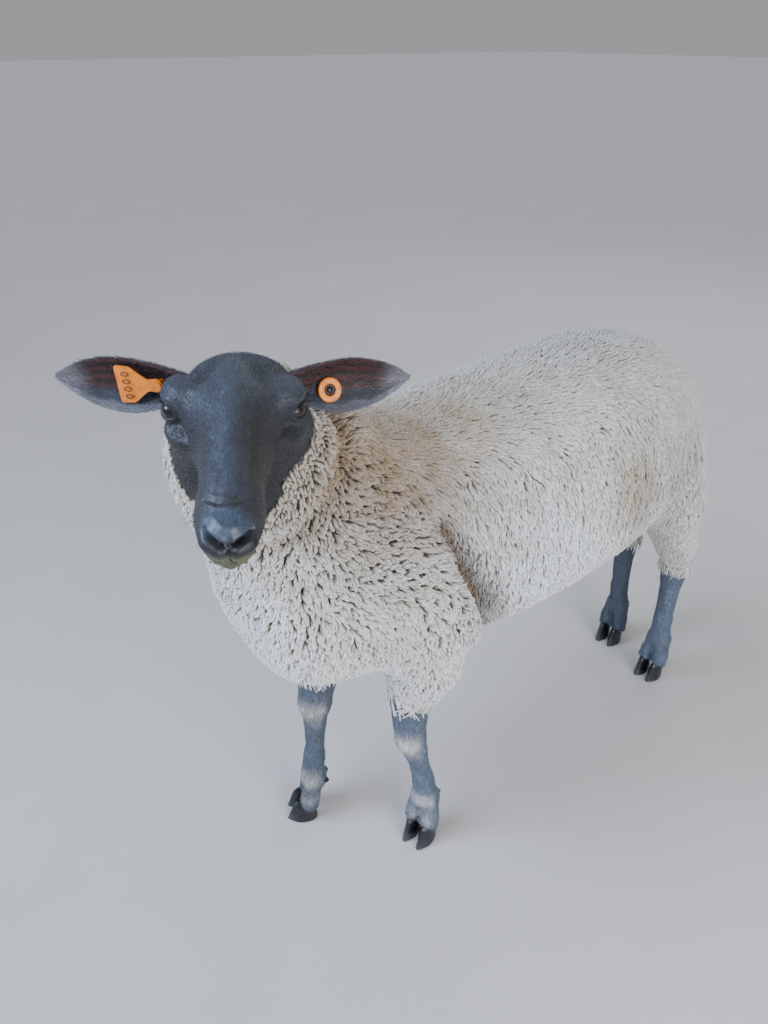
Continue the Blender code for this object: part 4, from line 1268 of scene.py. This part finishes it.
def lie(points, normals):
    """Which way the fleece lies: down, level on the shoulder and back along the top."""
    x, y, z = points.T
    shoulder = spot(points, (0.12, -0.27, 0.60), (0.10, 0.09, 0.10))
    leg = smooth(0.44, 0.36, z)
    chest = smooth(-0.30, -0.38, y)
    top = smooth(0.55, 0.95, normals[:, 2])
    along = np.stack(
        (
            0.1 * noise(points, 0.12, 21),
            1.0 * shoulder + 0.9 * top - 0.05 * leg - 0.1 * chest - 0.06,
            -0.95 + 0.75 * shoulder - 0.05 * leg,
        ),
        axis=1,
    )
    swirl = np.stack([noise(points, 0.05, 22 + k) for k in range(3)], axis=1)
    along = unit(along) + 0.30 * swirl
    along -= normals * (along * normals).sum(axis=1, keepdims=True)
    return unit(along)


def wool_colour(points):
    """Cream mottled with white, whitest on the low chest, with each patch laid over it: stains, painted
    crease shade and greyer wool.
    """
    pale = 0.25 + 0.30 * noise(points, 0.05, 31) + 0.25 * noise(points, 0.014, 32)
    for centre, radii in WHITE_AT:
        pale = pale + 0.7 * spot(points, centre, np.array(radii))
    colour = mixed(np.tile(linear(WOOL_CREAM), (len(points), 1)), WOOL_WHITE, pale)
    broken = np.clip(0.85 + 0.25 * noise(points, 0.04, 33) + 0.15 * noise(points, 0.01, 34), 0, 1.2)
    for centre, radii, patch_colour, share in WOOL_PATCHES:
        colour = mixed(colour, patch_colour, share * broken * spot(points, centre, np.array(radii)))
    return colour


def staples(points, e_along, stretch, spacing, seed):
    """The staple each root belongs to: the nearest of its centres, farther reached along a
    direction. The square of the distance d is d.d - (1 - 1 / stretch^2) (d.e)^2."""
    pick, weights = rooted(skin, HIDE_FACES, wool, spacing, seed, tries=6)
    centres = carried(skin, HIDE_FACES, pick, weights)
    tree = KDTree(len(centres))
    for number, point in enumerate(centres.tolist()):
        tree.insert(point, number)
    tree.balance()
    near = np.array([[f[1] for f in tree.find_n(p, 8)] for p in points.tolist()])
    away = centres[near] - points[:, None]
    squared = (away**2).sum(axis=2)
    along = (away * e_along[:, None]).sum(axis=2)
    squared = squared - (1 - 1 / stretch[:, None] ** 2) * along**2
    best = squared.argmin(axis=1)
    rows = np.arange(len(points))
    return near[rows, best], centres[near[rows, best]], np.sqrt(np.maximum(squared[rows, best], 0))


pick, weights = rooted(skin, HIDE_FACES, smooth(0.35, 0.6, wool), ROOT_SPACING, 1)
rng = np.random.default_rng(2)
root = carried(skin, HIDE_FACES, pick, weights)
rim = carried(OUTLINE, HIDE_FACES, pick, weights)
place(hide, OUTLINE)
outward = unit(carried(read(hide.vertex_normals, "vector", 3), HIDE_FACES, pick, weights))
place(hide, skin)
reach = np.linalg.norm(rim - root, axis=1)
x, y, z = root.T
flow = lie(root, outward)
number = len(root)

# How the fleece stands in each region
behind = y - (-0.125 - 0.545 * (z - 0.506)) - np.where(x < MIDLINE_X, RIGHT_AHEAD, 0)
front = smooth(0.012, -0.022, behind)
flank = smooth(-0.005, 0.02, behind) * smooth(0.66, 0.60, z) * smooth(0.40, 0.46, z)
leg = smooth(0.42, 0.36, z)
to_wool_line = carried(from_bare, HIDE_FACES, pick, weights)
fringe = leg * smooth(0.045, 0.008, to_wool_line)
stretch_along = flow
stretch = 1.7 - 0.2 * front

which, centre, edge = staples(root, stretch_along, stretch, STAPLE, 3)
left = x > MIDLINE_X
line = FOLDS["behind_shoulder"][0][:1] + FOLDS["behind_elbow"][0] + [(0, -0.090, 0.390)]
line = np.array(line) * (0, 1, 1)
seen = np.column_stack((0 * x, y + np.where(left, 0, -RIGHT_AHEAD), z))
crease_wide = 0.012 + 0.010 * smooth(0.60, 0.47, z)
crease = np.exp(-((distance_to(line, seen) / crease_wide) ** 2)) * (np.abs(x - MIDLINE_X) > 0.06)
mood = np.random.default_rng(4).uniform(-1, 1, which.max() + 1)[which]
edge = np.clip(edge / (0.75 * STAPLE), 0, 1)
gap = smooth(-0.5, 0.5, noise(root, 0.035, 41)) * (0.55 + 0.45 * front) * (1 - 0.4 * flank)
pull = 0.06 + 0.12 * front + 0.13 * gap * (0.4 + 0.8 * front) + 0.25 * fringe
ribs = np.sin(2 * np.pi * (y + 0.02 * noise(root, 0.12, 42)) / 0.018) * flank
height = reach * (1.0 + (0.02 + 0.06 * front) * mood + 0.012 * rng.normal(size=number))
height = height - (0.0004 + 0.0008 * front + 0.0027 * gap * (0.15 + 0.85 * front)) * edge**2
height = height * (1 - 0.8 * smooth(0.77, 0.80, z)) * (1 - 0.5 * crease) + 0.0012 * ribs - 0.003 * fringe
height = np.maximum(height, 0.003)
run = height * (1.0 - 0.50 * front) + 0.022 * fringe + 0.003
run = run * rng.uniform(0.8, 1.2, number)
spread = centre - root
spread -= outward * (spread * outward).sum(axis=1, keepdims=True)
whorl = unit(np.random.default_rng(5).normal(size=(which.max() + 1, 3)))[which]
heading = flow + (0.12 + 0.55 * front)[:, None] * whorl
heading = unit(heading + 0.15 * rng.normal(size=(number, 3)))
heading -= outward * (heading * outward).sum(axis=1, keepdims=True)
heading = unit(heading)
thick = LOCK_THICK * rng.uniform(0.8, 1.15, number) * (0.75 + 0.25 * smooth(0.004, 0.015, height))
thick = thick * (1 - 0.25 * fringe) * (1.0 - 0.02 * front)


def lock_rings(root, up, heading, spread, height, run, pull, thick, share, radius):
    """Rings of three points round a path, and its tip.

    The path rises by height * sin(s 90 degrees)^0.8, runs along the lie by run * s^1.8, and is
    pulled to the middle of its staple by pull * s. Each ring is a triangle round the path, its
    ridge outwards, share and radius giving each ring's place s and size.
    """
    s = np.array(share)[None, :, None]
    rise = np.sin(s * np.pi / 2) ** 0.8
    path = root[:, None] + up[:, None] * rise * height[:, None, None]
    path = path + heading[:, None] * run[:, None, None] * s**1.8
    path = path + spread[:, None] * pull[:, None, None] * s
    along = unit(np.gradient(path, axis=1))
    side = unit(np.cross(up, heading))[:, None]
    over = unit(np.cross(along, side))
    rings = []
    for k in range(3):
        angle = np.pi / 2 + 2 * np.pi * k / 3
        size = thick[:, None, None] * np.array(radius)[None, :, None]
        rings.append(path + size * (side * math.cos(angle) * 1.15 + over * math.sin(angle) * 0.8))
    rings = np.stack(rings, axis=2)[:, :-1]
    return rings, path[:, -1]


def lock_mesh(name, rings, tip, ring_tint, tip_tint, patch):
    """Locks as one mesh: tubes of three sides closed at the root and drawn to a tip.

    Every lock has a square of the unwrap: its sides run across it and its length up it.
    """
    count, levels = rings.shape[:2]
    each = levels * 3 + 1
    points = np.concatenate((rings.reshape(count, -1, 3), tip[:, None]), axis=1).reshape(-1, 3)
    tint = np.concatenate((np.repeat(ring_tint, 3, axis=1), tip_tint[:, None]), axis=1)
    around, up = np.meshgrid(np.arange(3), np.arange(levels), indexing="xy")
    local = np.stack((around.ravel() / 3, up.ravel() / levels), axis=1)
    local = np.concatenate((local, [[0.33, 1.0]]))
    uv = (patch[:, None] + local[None] * PATCH).reshape(-1, 2)
    faces = [(2, 1, 0)]
    for ring in range(levels - 1):
        for k in range(3):
            a, b = ring * 3 + k, ring * 3 + (k + 1) % 3
            faces += [(a, b, b + 3), (a, b + 3, a + 3)]
    for k in range(3):
        a, b = (levels - 1) * 3 + k, (levels - 1) * 3 + (k + 1) % 3
        faces.append((a, b, each - 1))
    faces = np.array(faces)[None] + np.arange(count)[:, None, None] * each
    faces = faces.reshape(-1, 3)
    mesh = mesh_from(name, points, faces)
    layer = mesh.uv_layers.new(name="OFBake")
    layer.data.foreach_set("uv", uv[faces.ravel()].astype(np.float32).ravel())
    paint(mesh, "tint", tint.reshape(-1, 3))
    mesh.polygons.foreach_set("use_smooth", np.ones(len(faces), bool))
    return mesh


def unwrapped(points, low, high, turn_axis, middle):
    """Places on a region unwrapped round an axis: angle across, distance along it up."""
    others = [k for k in range(3) if k != turn_axis]
    offset = points[:, others] - np.array(middle)
    angle = np.arctan2(offset[:, 0], offset[:, 1])
    angle = (angle - angle.min()) / max(np.ptp(angle), 1e-6)
    along = (points[:, turn_axis] - low) / (high - low)
    return np.clip(np.column_stack((angle, along)), 0, 1) * (0.998 - PATCH) + 0.001


def around_legs(points):
    """Places on the legs unwrapped side by side: each round its own axis, a curve of height."""
    which = 2 * (points[:, 1] > 0.15) + (points[:, 0] < MIDLINE_X).astype(int)
    z = points[:, 2]
    patch = np.zeros((len(points), 2))
    for leg_number in range(4):
        mine = which == leg_number
        x_axis = np.polyval(np.polyfit(z[mine], points[mine, 0], 2), z[mine])
        y_axis = np.polyval(np.polyfit(z[mine], points[mine, 1], 2), z[mine])
        angle = np.arctan2(points[mine, 0] - x_axis, points[mine, 1] - y_axis) / (2 * np.pi) + 0.5
        patch[mine, 0] = (leg_number + angle * 0.98) / 4
    patch[:, 1] = (z - z.min()) / np.ptp(z)
    return patch * (0.998 - PATCH) + 0.001


# Wool is crimped fibres of 0.03 mm felted into locks: matt, with a faint sheen at the edge of
# every form. The crimp, 1.5 mm apart, is drawn as soft mottling at 2.5 mm.
fleece, tree, output = finish_named("shorn_wool")
tint = node(tree, "Attribute", attribute_name="tint")
place_at = node(tree, "TexCoord")
crimp = node(tree, "TexNoise", {"Vector": place_at.outputs["Object"], "Scale": 400, "Detail": 3})
shade = node(
    tree,
    "MapRange",
    {"Value": crimp.outputs["Fac"], "From Min": 0.3, "From Max": 0.7, "To Min": 0.80, "To Max": 1.12},
)
coloured = node(
    tree, "VectorMath", {0: tint.outputs["Color"], "Scale": shade.outputs[0]}, operation="SCALE"
)
relief = node(tree, "Bump", {"Height": crimp.outputs["Fac"], "Distance": 0.0012, "Strength": 0.5})
shader = node(
    tree,
    "BsdfPrincipled",
    {
        "Base Color": coloured.outputs[0],
        "Roughness": 0.92,
        "Normal": relief.outputs[0],
        "Sheen Weight": 0.35,
        "Sheen Roughness": 0.6,
        "Specular IOR Level": 0.25,
        "Subsurface Weight": 0.3,
        "Subsurface Radius": (1.0, 0.85, 0.7),
        "Subsurface Scale": 0.006,
    },
)
tree.links.new(shader.outputs[0], output.inputs["Surface"])

SHARE = (0, 0.55, 0.90, 1.0)
RADIUS = (1.0, 1.1, 0.85, 0)
rings, tip = lock_rings(root, outward, heading, spread, height, run, pull, thick, SHARE, RADIUS)
ring = carried(from_head, HIDE_FACES, pick, weights)
body_colour = wool_colour(root)
ahead = smooth(0.60, 0.66, z)
# Painted highlight: the crest of the collar roll next to the head made paler cream
body_colour = mixed(body_colour, WOOL_CREAM, 0.4 * ahead * smooth(0.024, 0.014, ring))
# Painted shade: brown in the groove behind the collar roll
groove_shade = np.exp(-(((ring - 0.036) / 0.008) ** 2))
body_colour = mixed(body_colour, STAIN_AND_SHADE_BROWN, 0.4 * ahead * groove_shade)
# Painted shade: brown down the crease behind the elbow
body_colour = mixed(body_colour, CREASE_SHADE_BROWN, np.sqrt(crease) * np.where(left, 1.0, 0.4))
body_colour = body_colour * (1 + 0.07 * mood + 0.05 * rng.normal(size=number))[:, None]
# Roots are browner wool and also painted shade deep in the fleece, most in front where the staples part
root_and_shade_colour = body_colour * linear(WOOL_ROOT_AND_SHADE) / linear(WOOL_CREAM)
root_and_shade_colour = body_colour + (root_and_shade_colour - body_colour) * (0.25 + 0.75 * front)[:, None]
fade = np.array([0.0, 0.6, 1.0])[None, :, None]
ring_tint = root_and_shade_colour[:, None] + (body_colour - root_and_shade_colour)[:, None] * fade
tip_tint = body_colour * 1.03

from_node = np.array([nodes[k] for k in outer_node[nearest(outer, rim)[2]]])
on_leg = np.char.startswith(from_node, "fore_leg") | np.char.startswith(from_node, "hind_leg")
on_neck = from_node == "neck"
on_body = ~on_leg & ~on_neck
REGIONS = {
    "fleece_neck": (on_neck, 1, -0.45, -0.15, (-0.02, 0.66)),
    "fleece_legs": (on_leg, 2, 0.25, 0.42, (0.0, 0.1)),
    "fleece_shoulder_left": (on_body & left & (y < -0.13), 1, -0.45, -0.12, (-0.03, 0.52)),
    "fleece_shoulder_right": (on_body & ~left & (y < -0.13), 1, -0.45, -0.12, (-0.03, 0.52)),
    "fleece_flank_left": (on_body & left & (y >= -0.13) & (y < 0.14), 1, -0.14, 0.15, (-0.03, 0.52)),
    "fleece_flank_right": (on_body & ~left & (y >= -0.13) & (y < 0.14), 1, -0.14, 0.15, (-0.03, 0.52)),
    "fleece_rump_left": (on_body & left & (y >= 0.14), 1, 0.13, 0.47, (-0.03, 0.52)),
    "fleece_rump_right": (on_body & ~left & (y >= 0.14), 1, 0.13, 0.47, (-0.03, 0.52)),
}
for name, (mine, axis, low, high, around) in REGIONS.items():
    if name == "fleece_legs":
        patch = around_legs(root[mine])
    else:
        patch = unwrapped(root[mine], low, high, axis, around)
    made = lock_mesh(name, rings[mine], tip[mine], ring_tint[mine], tip_tint[mine], patch)
    piece(name, made, fleece, "wool")

# ---------------------------------------------------------------- short hair, lashes, whiskers
# Over the face, ears and legs the flat coat lifts here and there in tips that catch the light,
# longer on jaw, poll and coronets. Lashes edge the upper lids and a few whiskers the muzzle.
HAIR_SPACING, HAIR_WIDE = 0.0023, 0.00042
HAIR_LENGTH, JAW_HAIR, CORONET_HAIR = 0.0040, 0.0065, 0.0060
LASHES, WHISKERS = 34, 46

whole.calc_loop_triangles()
WHOLE_FACES = read(whole.loop_triangles, "vertices", 3, np.int32)
whole_normals = read(whole.vertex_normals, "vector", 3).astype(float)
local = in_head(points)
head_part = np.maximum(whole_head, ear_share)
along, up, out = eye_axes(points)
opening = smooth(-0.0022, -0.0030, slit(along, up)) + smooth(0.019, 0.021, np.hypot(up, along))
opening = np.where(near_eye(points, 0.024), np.clip(opening, 0, 1), 1.0)
wet = smooth(-0.158, -0.164, local[:, 1]) * smooth(-0.062, -0.052, local[:, 2]) * (whole_head > 0.5)
hairy = smooth(0.3, 0.1, whole_wool) * (1 - wet) * opening
hairy = hairy * smooth(0.016, 0.050, points[:, 2]) * (0.35 + 0.65 * head_part)
pick, weights = rooted(points, WHOLE_FACES, hairy, HAIR_SPACING, 61, tries=5)
rng = np.random.default_rng(62)
root = carried(points, WHOLE_FACES, pick, weights)
outward = unit(carried(whole_normals, WHOLE_FACES, pick, weights))
on_head = carried(whole_head, WHOLE_FACES, pick, weights) > 0.5
on_ear = carried(ear_share, WHOLE_FACES, pick, weights) > 0.5
# Each hair takes the skin's colour below it, painted sheen and shade included
shade = carried(colour, WHOLE_FACES, pick, weights)
count = len(root)


def hair_lie(points, on_head, on_ear):
    """Back from the nose on the face, out along the ears, down the legs."""
    turn = np.array(HEAD)[:3, :3]
    local = in_head(points, False)
    cheek = smooth(0.01, -0.03, local[:, 2])[:, None]
    back = unit(np.array([[0.0, 1.0, 0.1]]) + cheek * np.array([[0.0, 0.0, -0.7]])) @ turn.T
    ears = np.stack([np.array(ear_frame(s))[:3, 0] for s in (1, -1)])
    outwards = ears[(local[:, 0] < 0).astype(int)]
    down = np.broadcast_to(np.array([0.0, 0.0, -1.0]), points.shape)
    lying = np.where(on_head[:, None], back, down)
    return np.where(on_ear[:, None], outwards, lying)


def hairs(name, root, outward, heading, length, wide, lift, tint, patch):
    """Hairs of four triangles: a small triangle on the skin drawn to a tip.

    The tip is root + length * (heading cos(lift) + outward sin(lift)), so that each hair lies
    along the skin. Its colour is paler at the tip.
    """
    heading = heading - outward * (heading * outward).sum(axis=1, keepdims=True)
    heading = unit(heading + 1e-6)
    side = np.cross(outward, heading)
    base = root - outward * 0.0003
    wide = wide[:, None]
    lean = np.stack((np.cos(lift), np.sin(lift)), axis=1)
    tip = root + length[:, None] * (heading * lean[:, :1] + outward * lean[:, 1:])
    ridge = outward * lean[:, :1] - heading * lean[:, 1:]
    corners = (base + side * wide, base + ridge * wide * 1.2, base - side * wide)
    rings = np.stack(corners, axis=1)[:, None]
    return lock_mesh(name, rings, tip, tint[:, None], np.clip(tint * 1.3 + 0.004, 0, 1), patch)


def around_ears(points):
    """Places on the ears unwrapped side by side, each round its own length."""
    patch = np.zeros((len(points), 2))
    right = in_head(points, False)[:, 0] < 0
    for side, mine in ((1, ~right), (-1, right)):
        local = turned(ear_frame(side).inverted(), points[mine])
        angle = np.arctan2(local[:, 1] - 0.006, local[:, 2]) / (2 * np.pi) + 0.5
        patch[mine, 0] = (angle * 0.98 + (side < 0)) / 2
        patch[mine, 1] = np.clip(local[:, 0] / EAR_LENGTH, 0, 1)
    return patch * (0.998 - PATCH) + 0.001


heading = unit(hair_lie(root, on_head, on_ear) + 0.22 * rng.normal(size=(count, 3)))
local = in_head(root)
jaw = smooth(-0.02, -0.06, local[:, 2]) * on_head
poll = smooth(0.0, 0.03, local[:, 1]) * on_head
coronet = smooth(0.055, 0.040, root[:, 2]) * ~on_head
length = HAIR_LENGTH + (JAW_HAIR - HAIR_LENGTH) * np.maximum(jaw, poll)
length = length + (CORONET_HAIR - HAIR_LENGTH) * coronet + 0.0012 * (~on_head & ~on_ear)
muzzle = smooth(-0.10, -0.15, local[:, 1]) * on_head
length = length * (1 - 0.45 * muzzle) * rng.uniform(0.7, 1.2, count)
wide = HAIR_WIDE * rng.uniform(0.7, 1.2, count)
lift = np.radians(rng.uniform(5, 17, count) + 12 * coronet + 6 * poll)
tint = shade * rng.uniform(0.75, 1.25, count)[:, None]


def around_head(points):
    """Places on the head unwrapped round its length: angle across, nose to poll up."""
    local = in_head(points, False)
    angle = np.arctan2(local[:, 0], -local[:, 2] - 0.01) / (2 * np.pi) + 0.5
    along = np.clip((local[:, 1] + 0.20) / 0.28, 0, 1)
    return np.column_stack((angle, along)) * (0.998 - PATCH) + 0.001


# Lashes stand along the upper lid's edge, whiskers round the lips and chin
turn = np.array(HEAD)[:3, :3]
t = rng.uniform(-0.9, 0.9, LASHES)
at = np.stack((t * SLIT_LENGTH, SLIT_ABOVE * (1 - t**2) ** 0.8 + 0.0012), axis=1)
forward = np.sqrt((EYEBALL + LID) ** 2 - (at**2).sum(axis=1))
axes = np.array((EYE_BACK, EYE_UP, EYE_OUT))
lash_root = np.array(EYE_AT) + np.column_stack((at, forward)) @ axes
lash_way = unit(np.column_stack((0.5 * t - 0.2, np.full(LASHES, 0.35), np.full(LASHES, 0.9))) @ axes)
both = np.array([[1, 1, 1], [-1, 1, 1]])[:, None]
lash_root = turned(HEAD, (lash_root * both).reshape(-1, 3))
lash_way = (lash_way * both).reshape(-1, 3) @ turn.T
bristly = (local[:, 1] < -0.118) & (local[:, 2] < -0.028) & on_head
chosen = rng.choice(np.flatnonzero(bristly), WHISKERS, replace=False)
whisker_way = unit(outward[chosen] + 0.35 * rng.normal(size=(WHISKERS, 3)) + heading[chosen] * 0.2)

extra = len(lash_root) + WHISKERS
root = np.concatenate((root, lash_root, root[chosen]))
outward = np.concatenate((outward, unit(lash_way), whisker_way))
heading = np.concatenate((heading, np.tile([0.0, 0.0, -1.0], (extra, 1))))
length = np.concatenate(
    (length, rng.uniform(0.006, 0.010, len(lash_root)), rng.uniform(0.012, 0.028, WHISKERS))
)
wide = np.concatenate((wide, np.full(len(lash_root), 0.00028), np.full(WHISKERS, 0.0002)))
lift = np.concatenate((lift, np.radians(rng.uniform(62, 86, extra))))
tint = np.concatenate((tint, np.tile(linear("#141414"), (extra, 1))))
on_head = np.concatenate((on_head & ~on_ear, np.ones(extra, bool)))
on_ear = np.concatenate((on_ear, np.zeros(extra, bool)))

# The tips of the flat hair: glassy, a shade paler than the coat below them, matt together
hair_tips, tree, output = finish_named("lifted_hair_tips")
tint_at = node(tree, "Attribute", attribute_name="tint")
place_at = node(tree, "TexCoord")
cloud = node(tree, "TexNoise", {"Vector": place_at.outputs["Object"], "Scale": 300, "Detail": 2})
varied = node(
    tree,
    "MapRange",
    {"Value": cloud.outputs["Fac"], "From Min": 0.3, "From Max": 0.7, "To Min": 0.8, "To Max": 1.2},
)
coloured = node(
    tree, "VectorMath", {0: tint_at.outputs["Color"], "Scale": varied.outputs[0]}, operation="SCALE"
)
shader = node(
    tree,
    "BsdfPrincipled",
    {
        "Base Color": coloured.outputs[0],
        "Roughness": 0.5,
        "Sheen Weight": 0.1,
        "Sheen Roughness": 0.4,
    },
)
tree.links.new(shader.outputs[0], output.inputs["Surface"])
parts = {
    "hair_head": (on_head, around_head, "face_hair"),
    "hair_ears": (on_ear, around_ears, "face_hair"),
    "hair_legs": (~on_head & ~on_ear, around_legs, "leg_hair"),
}
for name, (mine, places, slot) in parts.items():
    made = hairs(
        name,
        root[mine],
        outward[mine],
        heading[mine],
        length[mine],
        wide[mine],
        lift[mine],
        tint[mine],
        places(root[mine]),
    )
    piece(name, made, hair_tips, slot)

# ---------------------------------------------------------------- room
# A pale floor and soft daylight: a wide cool window ahead of the animal on its right, a weaker
# one behind, and the light of a pale room.
FLOOR_PALE, ROOM_PALE = "#C9C6C1", "#D9DCE0"

floor_finish, tree, output = finish_named("pale_matt_floor")
place_at = node(tree, "TexCoord")
cloud = node(tree, "TexNoise", {"Vector": place_at.outputs["Object"], "Scale": 3, "Detail": 3})
pale = node(
    tree,
    "Mix",
    {0: cloud.outputs["Fac"], 6: (*linear("#BDBAB5"), 1), 7: (*linear(FLOOR_PALE), 1)},
    data_type="RGBA",
)
shader = node(tree, "BsdfPrincipled", {"Base Color": pale.outputs[2], "Roughness": 0.8})
tree.links.new(shader.outputs[0], output.inputs["Surface"])
corners = np.array([(-40, -40, 0), (40, -40, 0), (40, 40, 0), (-40, 40, 0)])
floor = bpy.data.objects.new("floor", mesh_from("floor", corners, np.array([[0, 1, 2, 3]])))
floor.data.materials.append(floor_finish)
bpy.context.scene.collection.objects.link(floor)


def window(name, at, aim, size, power, colour):
    """A square area light at a place, turned to a place."""
    light = bpy.data.lights.new(name, "AREA")
    light.size = size
    light.energy = power
    light.color = linear(colour)
    lamp = bpy.data.objects.new(name, light)
    lamp.location = at
    lamp.rotation_euler = (Vector(aim) - Vector(at)).to_track_quat("-Z", "Y").to_euler()
    bpy.context.scene.collection.objects.link(lamp)


daylight = bpy.data.lights.new("daylight", "SUN")
daylight.energy = 2.8
daylight.angle = math.radians(50)
daylight.color = linear("#E2EAFF")
sky = bpy.data.objects.new("daylight", daylight)
sky.rotation_euler = Vector((0.35, 2.2, -1.7)).to_track_quat("-Z", "Y").to_euler()
bpy.context.scene.collection.objects.link(sky)
window("near_window", (-0.6, -1.6, 1.5), (0.03, -0.42, 0.75), 0.9, 26, "#B4CEFF")
window("side_light", (2.6, -0.4, 1.2), (0, 0.1, 0.5), 2.0, 95, "#EEF3FF")
window("back_light", (-1.2, 2.6, 2.4), (0, 0.2, 0.6), 2.0, 20, "#F2F4FF")

world = bpy.data.worlds.new("room")
world.use_nodes = True
background = world.node_tree.nodes["Background"]
background.inputs["Color"].default_value = (*linear(ROOM_PALE), 1)
background.inputs["Strength"].default_value = 0.5
bpy.context.scene.world = world

lens = bpy.data.cameras.new("camera")
lens.lens = 27.07
lens.sensor_width = 36
camera = bpy.data.objects.new("camera", lens)
camera.location = (0.6428, -0.6664, 1.10)
PITCH = math.radians(32)
looking = Vector((-0.805, 0.593, 0)).normalized() * math.cos(PITCH) - Vector((0, 0, math.sin(PITCH)))
camera.rotation_euler = looking.to_track_quat("-Z", "Y").to_euler()
bpy.context.scene.collection.objects.link(camera)
bpy.context.scene.camera = camera
